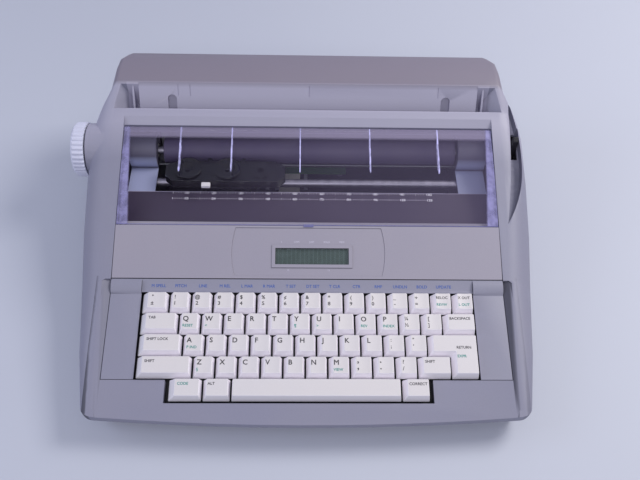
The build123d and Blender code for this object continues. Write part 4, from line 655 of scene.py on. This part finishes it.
def text_mesh(words, height, anchor):
    """Flat mesh of some words with capitals of a given height, its baseline on Y 0."""
    curve = bpy.data.curves.new("words", "FONT")
    curve.body = words
    curve.size = height / capital_share
    curve.align_x = anchor
    curve.space_character = 1.02
    curve.resolution_u = 3
    holder = new_object("words", curve)
    bpy.context.view_layer.update()
    mesh = final_mesh(holder)
    bpy.data.objects.remove(holder)
    bpy.data.curves.remove(curve)
    return mesh


def embolden(work, grow):
    """Move the outline of flat letters outwards, so that their strokes grow wider."""
    outward = {}
    for edge in work.edges:
        if len(edge.link_faces) == 1:
            first, second = edge.verts
            side = Vector((second.co.y - first.co.y, first.co.x - second.co.x, 0)).normalized()
            if side.dot(edge.link_faces[0].calc_center_median() - first.co) > 0:
                side.negate()
            for vert in edge.verts:
                outward.setdefault(vert, []).append(side)
    for vert, sides in outward.items():
        mean = sum(sides, Vector())
        if mean.length > 0.3:
            mean.normalize()
            vert.co += mean * grow * min(1 / max(mean.dot(sides[0]), 0.1), 1.8)


def laid_print(name, entries, surface, body, inks, matrix=deck_matrix):
    """One mesh of printed words, each dropped onto a surface along the plane's normal.

    An entry is (words, x, y, height, anchor, ink), in the plane's own coordinates, with the ink as a place in inks.
    """
    tree = BVHTree.FromObject(surface, bpy.context.evaluated_depsgraph_get())
    down = -(matrix.to_3x3() @ Vector((0, 0, 1)))
    work = bmesh.new()
    for words, x, y, height, anchor, tone in entries:
        mesh = text_mesh(words, height, anchor)
        part = bmesh.new()
        part.from_mesh(mesh)
        bmesh.ops.remove_doubles(part, verts=part.verts, dist=least_step * height)
        embolden(part, stroke_growth * height)
        bmesh.ops.triangulate(part, faces=part.faces)
        long_edges = [edge for edge in part.edges if edge.calc_length() > longest_edge]
        bmesh.ops.subdivide_edges(part, edges=long_edges, cuts=3, use_grid_fill=True)
        for face in part.faces:
            face.material_index = tone
        for vert in part.verts:
            flat = Vector((vert.co.x + x, vert.co.y + y, 0))
            landed = tree.ray_cast(matrix @ (flat + Vector((0, 0, drop_from))), down)[0]
            vert.co = (landed or matrix @ flat) - down * print_lift
        scrap = bpy.data.meshes.new("scrap")
        part.to_mesh(scrap)
        part.free()
        work.from_mesh(scrap)
        bpy.data.meshes.remove(scrap)
        bpy.data.meshes.remove(mesh)
    result = bpy.data.meshes.new(name)
    work.to_mesh(result)
    work.free()
    for material in inks:
        result.materials.append(material)
    return new_piece(name, result, body)


print("print stands", round(print_lift / mm, 2), "mm proud")

# %% [markdown]
# A legend's place is counted in key pitches from the left end of the field, and in rows from the rear. Letters are
# 4.2 mm tall, symbols 3.2 mm and words 2.3 mm, read off the photo against the key pitch. The second function of a key
# is printed green in front of its letter.

# %% Where the legends go
field_half = 15.25 * key_pitch / 2
letter_high = 4.2 * mm
symbol_high = 3.2 * mm
word_high = 2.3 * mm
letter_inset, symbol_inset, wide_inset = 4.7 * mm, 6.2 * mm, 8.6 * mm
letter_drop, letter_second_drop = 4.2 * mm, 11.3 * mm
upper_drop, lower_drop = 4.1 * mm, 9.8 * mm
word_drop, second_drop = 4.3 * mm, 10.6 * mm


def key_left(units):
    return units * key_pitch - field_half


def key_rear(row):
    return -row * key_pitch


def letter(units, row, glyph, second=None):
    """A letter key: the letter at the rear left, with its second function in green in front of it."""
    x, y = key_left(units) + letter_inset, key_rear(row)
    found = [(glyph, x, y - letter_drop - letter_high, letter_high, "LEFT", 0)]
    if second:
        found.append((second, x - 0.1 * mm, y - letter_second_drop - word_high, word_high, "LEFT", 1))
    return found


def pair(units, row, upper, lower, inset=symbol_inset):
    """A two symbol key, the shifted symbol at the rear."""
    x, y = key_left(units) + inset, key_rear(row)
    return [
        (upper, x, y - upper_drop - symbol_high, symbol_high, "CENTER", 0),
        (lower, x, y - lower_drop - symbol_high, symbol_high, "CENTER", 0),
    ]


def word(units, row, words, inset, drop=word_drop, tone=0):
    return [(words, key_left(units) + inset, key_rear(row) - drop - word_high, word_high, "LEFT", tone)]


print("key field", round(2 * field_half / mm, 1), "mm wide")

# %% [markdown]
# The legends follow the photo. Only the general ones are there, as any machine of this kind has them.

# %% Legends on the keys
number_pairs = ["!1", "@2", "#3", "$4", "%5", "¢6", "&7", "*8", "(9", ")0", "_-", "+="]
number_print = pair(0, 0, "°", "±", 10.6 * mm)
for k, (upper, lower) in enumerate(number_pairs):
    number_print += pair(1.25 + k, 0, upper, lower)
number_print += word(13.25, 0, "RELOC", 4.3 * mm) + word(13.25, 0, "REVW", 4.6 * mm, second_drop, 1)
number_print += word(14.25, 0, "X OUT", 4.7 * mm) + word(14.25, 0, "L OUT", 4.9 * mm, second_drop, 1)

upper_seconds = {"Q": "RESET", "W": "<", "Y": "¶", "U": ">", "O": "REV", "P": "INDEX"}
upper_print = []
for k, glyph in enumerate("QWERTYUIOP"):
    upper_print += letter(1.75 + k, 1, glyph, upper_seconds.get(glyph))
upper_print += pair(11.75, 1, "¼", "½") + pair(12.75, 1, "[", "]")

home_print = []
for k, glyph in enumerate("ASDFGHJKL"):
    home_print += letter(2.0 + k, 2, glyph, {"A": "P IND"}.get(glyph))
home_print += pair(11, 2, ":", ";") + pair(12, 2, '"', "'")

lower_print = []
for k, glyph in enumerate("ZXCVBNM"):
    lower_print += letter(2.5 + k, 3, glyph, {"Z": "§", "M": "VIEW"}.get(glyph))
for k, mark in ((9.5, ","), (10.5, ".")):
    for drop in (6.6 * mm, 12.2 * mm):
        lower_print.append((mark, key_left(k) + symbol_inset, key_rear(3) - drop, 5.6 * mm, "CENTER", 0))
lower_print += pair(11.5, 3, "?", "/")

legend_print = {
    "tab_key": word(0, 1, "TAB", wide_inset),
    "backspace_key": word(13.75, 1, "BACKSPACE", 5.2 * mm),
    "shift_lock_key": word(0, 2, "SHIFT LOCK", wide_inset),
    "left_shift_key": word(0, 3, "SHIFT", wide_inset),
    "right_shift_key": word(12.5, 3, "SHIFT", 5.6 * mm),
    "return_key": word(14.0, 2, "RETURN", 4.6 * mm, 11.0 * mm) + word(14.0, 2, "EXPR", 4.8 * mm, 18.6 * mm, 1),
    "code_key": word(1.5, 4, "CODE", wide_inset, tone=1),
    "alt_key": word(3.0, 4, "ALT", 5.2 * mm),
    "correct_key": word(11.75, 4, "CORRECT", 5.4 * mm),
    "number_keys": number_print,
    "upper_letter_keys": upper_print,
    "home_letter_keys": home_print,
    "lower_letter_keys": lower_print,
}
for node, entries in legend_print.items():
    laid_print("legends_" + node, entries, keycaps[node], node_body(node), (black_ink, green_ink))
print("legend pieces", len(legend_print), "words", sum(len(e) for e in legend_print.values()))

# %% [markdown]
# The strip behind the number keys carries the second functions in small blue words, one over each key, and the
# display has a few pale captions. These are printed the same way, onto the frame and the panel.

# %% Strip labels and display captions
strip_words = (
    "M SPELL", "PITCH", "LINE", "M REL", "L MAR", "R MAR", "T SET",
    "DT SET", "T CLR", "CTR", "RMF", "UNDLN", "BOLD", "UPDATE",
)
strip_entries = []
for k, words in enumerate(strip_words):
    strip_entries.append((words, key_left(0.73 + 1.015 * k), 5.2 * mm, 2.5 * mm, "CENTER", 0))
laid_print("strip_labels", strip_entries, dressed["keyboard_frame"], "case", (blue_ink,))

panel_run, panel_rise = 46.6 * mm, 15.9 * mm
panel_foot = Matrix.Translation((middle_x, rear_row_y + 11.7 * mm, 55.1 * mm))
panel_matrix = panel_foot @ Matrix.Rotation(math.atan2(panel_rise, panel_run), 4, "X")
panel_entries = []
for k, words in enumerate(("L", "CAPS", "JUST", "BOLD", "MEM")):
    panel_entries.append((words, (-24 + 13.5 * k) * mm, 33.6 * mm, 1.5 * mm, "CENTER", 0))
for words, x in (("10", -18 * mm), ("12", 18 * mm)):
    panel_entries.append((words, x, 7.6 * mm, 1.4 * mm, "CENTER", 0))
laid_print("panel_captions", panel_entries, dressed["display_panel"], "case", (pale_ink,), panel_matrix)
print("strip words", len(strip_words), "panel words", len(panel_entries))

# %% [markdown]
# The rocker of the power switch, at the back, has its two marks, one over the other.

# %% Marks on the power switch
switch_low, switch_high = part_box("power_switch")
switch_middle = (switch_low + switch_high) / 2
rearward = Matrix(((-1, 0, 0), (0, 0, 1), (0, 1, 0))).to_4x4()
switch_matrix = Matrix.Translation((switch_middle.x, switch_low.y, switch_middle.z)) @ rearward
quarter = (switch_high.z - switch_low.z) / 4
switch_entries = []
for mark, rise in (("I", quarter), ("O", -quarter)):
    switch_entries.append((mark, 0.0, rise - 1.0 * mm, 2.2 * mm, "CENTER", 0))
laid_print(
    "switch_marks", switch_entries, dressed["power_switch"], node_body("power_switch"), (pale_ink,), switch_matrix
)
print("switch marks", len(switch_entries))

# %% [markdown]
# The margin scale on the dark plate has two rows of small marks, ten to the inch for pica type and twelve to the inch
# for elite, with a taller mark at each inch and a number halfway. Repeats like this are what Geometry Nodes are for:
# a line of points, a small bar on each, and every tenth or twelfth point scaled up. The tree has named inputs for the
# pitch, the counts and the bar's size.

# %% A Geometry Nodes tree for the scale
def scale_tree():
    tree = bpy.data.node_groups.new("margin_scale_marks", "GeometryNodeTree")
    face = tree.interface
    face.new_socket("Geometry", in_out="OUTPUT", socket_type="NodeSocketGeometry")
    face.new_socket("Count", in_out="INPUT", socket_type="NodeSocketInt")
    face.new_socket("Tenth", in_out="INPUT", socket_type="NodeSocketInt")
    for name in ("Pitch", "Mark Wide", "Mark Long"):
        face.new_socket(name, in_out="INPUT", socket_type="NodeSocketFloat")
    face.new_socket("Ink", in_out="INPUT", socket_type="NodeSocketMaterial")
    given = add_node(tree, "NodeGroupInput").outputs
    offset = add_node(tree, "ShaderNodeCombineXYZ", X=given["Pitch"]).outputs[0]
    line = add_node(tree, "GeometryNodeMeshLine", Count=given["Count"], Offset=offset).outputs["Mesh"]
    wide, long = given["Mark Wide"], given["Mark Long"]
    bar = add_node(tree, "GeometryNodeMeshGrid", Size_X=wide, Size_Y=long, Vertices_X=2, Vertices_Y=2)
    index = add_node(tree, "GeometryNodeInputIndex").outputs[0]
    remainder = add_node(tree, "ShaderNodeMath", {"operation": "MODULO"}, _0=index, _1=given["Tenth"]).outputs[0]
    tenth = add_node(tree, "FunctionNodeCompare", {"operation": "LESS_THAN"}, _0=remainder, _1=0.5).outputs[0]
    high = add_node(tree, "GeometryNodeSwitch", {"input_type": "FLOAT"}, _0=tenth, _1=1.0, _2=2.2).outputs[0]
    size = add_node(tree, "ShaderNodeCombineXYZ", X=1.0, Y=high, Z=1.0).outputs[0]
    marks = add_node(tree, "GeometryNodeInstanceOnPoints", Points=line, Instance=bar.outputs["Mesh"], Scale=size)
    real = add_node(tree, "GeometryNodeRealizeInstances", Geometry=marks.outputs[0]).outputs[0]
    inked = add_node(tree, "GeometryNodeSetMaterial", Geometry=real, Material=given["Ink"]).outputs[0]
    add_node(tree, "NodeGroupOutput", Geometry=inked)
    return tree


def grown_mesh(name, tree, values):
    """Mesh that a Geometry Nodes tree makes from the given inputs."""
    seed = new_object(name, bpy.data.meshes.new(name + "_seed"))
    modifier = seed.modifiers.new("nodes", "NODES")
    modifier.node_group = tree
    for item in tree.interface.items_tree:
        if item.in_out == "INPUT" and item.name in values:
            modifier[item.identifier] = values[item.name]
    mesh = final_mesh(seed)
    bpy.data.objects.remove(seed)
    return mesh


marks_tree = scale_tree()
print("scale tree", marks_tree.name)

# %% [markdown]
# Both rows start five inches left of the middle and lie on the plate's slope, the pica row at the back. Each mark is
# 0.45 mm wide; the numbers between them count characters.

# %% Margin scale
inch = 25.4 * mm
plate_front_y, plate_front_z = 62.5 * mm, 60.4 * mm
plate_rear_y, plate_rear_z = 103.1 * mm, 63.2 * mm
plate_slope = math.atan2(plate_rear_z - plate_front_z, plate_rear_y - plate_front_y)
plate_rear = Matrix.Translation((middle_x, rear_row_y + plate_rear_y, plate_rear_z))
scale_matrix = plate_rear @ Matrix.Rotation(plate_slope, 4, "X")
scale_start = -5.0 * inch
scale_inches = 9.6
mark_size = {"Mark Wide": 0.45 * mm, "Mark Long": 1.0 * mm}
number_entries = []
for per_inch, row_y in ((10, -1.7 * mm), (12, -8.0 * mm)):
    count = int(scale_inches * per_inch) + 1
    values = {"Count": count, "Pitch": inch / per_inch, "Tenth": per_inch, **mark_size, "Ink": scale_ink}
    marks = grown_mesh("scale_marks", marks_tree, values)
    marks.transform(scale_matrix @ Matrix.Translation((scale_start, row_y, 0.04 * mm)))
    new_piece(f"scale_marks_{per_inch}", marks, "case")
    for k in range(10):
        words = str((k + 1) * per_inch)
        number_entries.append((words, scale_start + (k + 0.5) * inch, row_y - 1.3 * mm, 2.6 * mm, "CENTER", 0))
laid_print("scale_numbers", number_entries, dressed["scale_plate"], "case", (scale_ink,), scale_matrix)
print("scale numbers", len(number_entries))

# %% [markdown]
# On the front of the carriage sits a small white pointer, which shows the typing place against the scale. It is a
# moulded chip with rounded edges, made as a bevelled block and riding on the carriage.

# %% Carriage pointer
def small_block(name, low, high, radius, material, body):
    """Block with rounded edges between two corners, measured from the top key row in millimetres."""
    work = bmesh.new()
    bmesh.ops.create_cube(work, size=1.0)
    for vert in work.verts:
        vert.co = Vector([low[i] + (vert.co[i] + 0.5) * (high[i] - low[i]) for i in range(3)]) * mm
    bmesh.ops.bevel(work, geom=work.edges[:], offset=radius * mm, segments=3, affect="EDGES", profile=0.5)
    bmesh.ops.translate(work, verts=work.verts, vec=(middle_x, rear_row_y, 0))
    mesh = bpy.data.meshes.new(name)
    work.to_mesh(mesh)
    work.free()
    mesh.materials.append(material)
    for face in mesh.polygons:
        face.use_smooth = True
    return new_piece(name, mesh, body)


cassette_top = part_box("ribbon_cassette")[1].z / mm
pointer_low, pointer_high = (-99, 97.2, cassette_top - 3.0), (-91, 101.6, cassette_top + 0.6)
small_block("carriage_pointer", pointer_low, pointer_high, 0.4, key_abs, "carriage")
print("pointer on the cassette at height", round(cassette_top, 1))

# %% [markdown]
# The cassette's two spools turn under shallow round lids, moulded glossy and slightly domed, with a low rim. They are
# turned shapes, so each is a profile carried round its middle.

# %% Spool lids
def turned(name, profile, middle, material, body, steps=96):
    """Closed piece from a profile of (radius, height) points, from the rim's foot up and in to the middle."""
    points, faces = [], []
    origin = Vector((middle_x, rear_row_y, 0))
    for radius, height in profile:
        for k in range(steps):
            turn = 2 * math.pi * k / steps
            around = Vector((radius * math.cos(turn), radius * math.sin(turn), height))
            points.append(origin + (Vector(middle) + around) * mm)
    for ring in range(len(profile) - 1):
        for k in range(steps):
            here, there = ring * steps, (ring + 1) * steps
            faces.append((here + k, here + (k + 1) % steps, there + (k + 1) % steps, there + k))
    faces.append(list(reversed(range(steps))))
    faces.append([(len(profile) - 1) * steps + k for k in range(steps)])
    mesh = bpy.data.meshes.new(name)
    mesh.from_pydata(points, [], faces)
    mesh.materials.append(material)
    for face in mesh.polygons:
        face.use_smooth = len(face.vertices) == 4
    return new_piece(name, mesh, body)


lid_rim = [(12.6, -0.3), (12.6, 0.5), (12.4, 0.75), (12.0, 0.8), (11.4, 0.45)]
lid_dome = [(8.0, 0.72), (4.0, 0.86), (3.4, 0.4), (0.4, 0.4)]
spool_places = (-113, -76)
for k, x in enumerate(spool_places):
    turned(f"spool_lid_{k}", lid_rim + lid_dome, (x, 118.6, cassette_top), cassette_styrene, "carriage")
print("spool lids", len(spool_places), "rings", len(lid_rim + lid_dome))

# %% [markdown]
# The studio has a plain pale table top with a curve up at the back, so that no horizon shows from the front. A faint
# cloudiness keeps it from being one flat colour.

# %% Floor
def floor_material():
    material, tree, shader, place = new_material("studio_pale_floor", Roughness=0.6)
    cloud = add_node(tree, "ShaderNodeTexNoise", Vector=place, Scale=per_size(500.0), Detail=2.0).outputs["Fac"]
    tint = add_node(tree, "ShaderNodeMix", {"data_type": "RGBA"}, _0=cloud, _6=linear("#B9BDCD"), _7=linear("#C2C6D3"))
    link(tree, tint.outputs[2], shader, "Base Color")
    return material


def sweep_floor():
    """Table top that curves up into a backdrop."""
    front_y, bend_y, bend_radius, top_z, half_wide, steps = -1.6, 0.75, 0.35, 1.6, 2.0, 12
    profile = [(front_y, 0.0), (bend_y, 0.0)]
    for k in range(1, steps + 1):
        turn = math.radians(90 * k / steps)
        profile.append((bend_y + bend_radius * math.sin(turn), bend_radius - bend_radius * math.cos(turn)))
    profile.append((bend_y + bend_radius, top_z))
    mesh = bpy.data.meshes.new("studio_floor")
    points = [(x, y, z) for y, z in profile for x in (-half_wide, half_wide)]
    faces = [(2 * k, 2 * k + 1, 2 * k + 3, 2 * k + 2) for k in range(len(profile) - 1)]
    mesh.from_pydata(points, [], faces)
    mesh.materials.append(floor_material())
    for face in mesh.polygons:
        face.use_smooth = True
    floor = new_object("studio_floor", mesh)
    return floor


studio_floor = sweep_floor()
print("floor faces", len(studio_floor.data.polygons))

# %% [markdown]
# The photo has soft light from the rear right, with weaker light from the left and the front. Three soft boxes and a
# pale world do the same, at levels where a colour renders about as it is written.

# %% Lights and world
def soft_light(name, place, aim, size, watts, colour):
    lamp = bpy.data.lights.new(name, "AREA")
    lamp.shape = "RECTANGLE"
    lamp.size, lamp.size_y = size
    lamp.energy = watts
    lamp.color = linear(colour)[:3]
    holder = new_object(name, lamp)
    holder.location = place
    holder.rotation_euler = (Vector(aim) - Vector(place)).to_track_quat("-Z", "Y").to_euler()


soft_light("softbox_right", (0.95, 0.35, 1.1), (0.0, 0.05, 0.05), (0.55, 0.55), 12.5, "#FFFCF8")
soft_light("softbox_left", (-1.2, 0.0, 0.8), (0.0, 0.0, 0.05), (0.8, 0.8), 4.5, "#E4EAFF")
soft_light("softbox_front", (0.0, -1.0, 1.2), (0.0, 0.0, 0.05), (0.6, 0.4), 5.0, "#FBFAFF")
world = bpy.data.worlds.new("studio_world")
bpy.context.scene.world = world
world.use_nodes = True
world.node_tree.nodes["Background"].inputs["Color"].default_value = linear("#E4E6F2")
world.node_tree.nodes["Background"].inputs["Strength"].default_value = 0.47

# %% [markdown]
# The photograph was taken from above and in front, about 55 degrees up, with the keyboard near the lower edge. The
# camera's place and lens were worked out from the rows and columns of keys, whose pitch is known.

# %% Camera
camera_data = bpy.data.cameras.new("photo_camera")
camera_data.sensor_width = 36.0
camera_data.lens = 41.63
camera_data.clip_start = 0.01
camera_turn = (34.58, -1.465, -0.529)
camera = new_object("photo_camera", camera_data)
camera.location = (middle_x - 7.1 * mm, rear_row_y - 331.3 * mm, 614.0 * mm)
camera.rotation_euler = [math.radians(angle) for angle in camera_turn]
bpy.context.scene.camera = camera
bpy.context.scene.view_settings.view_transform = "Standard"
print("camera", [round(v, 4) for v in camera.location])
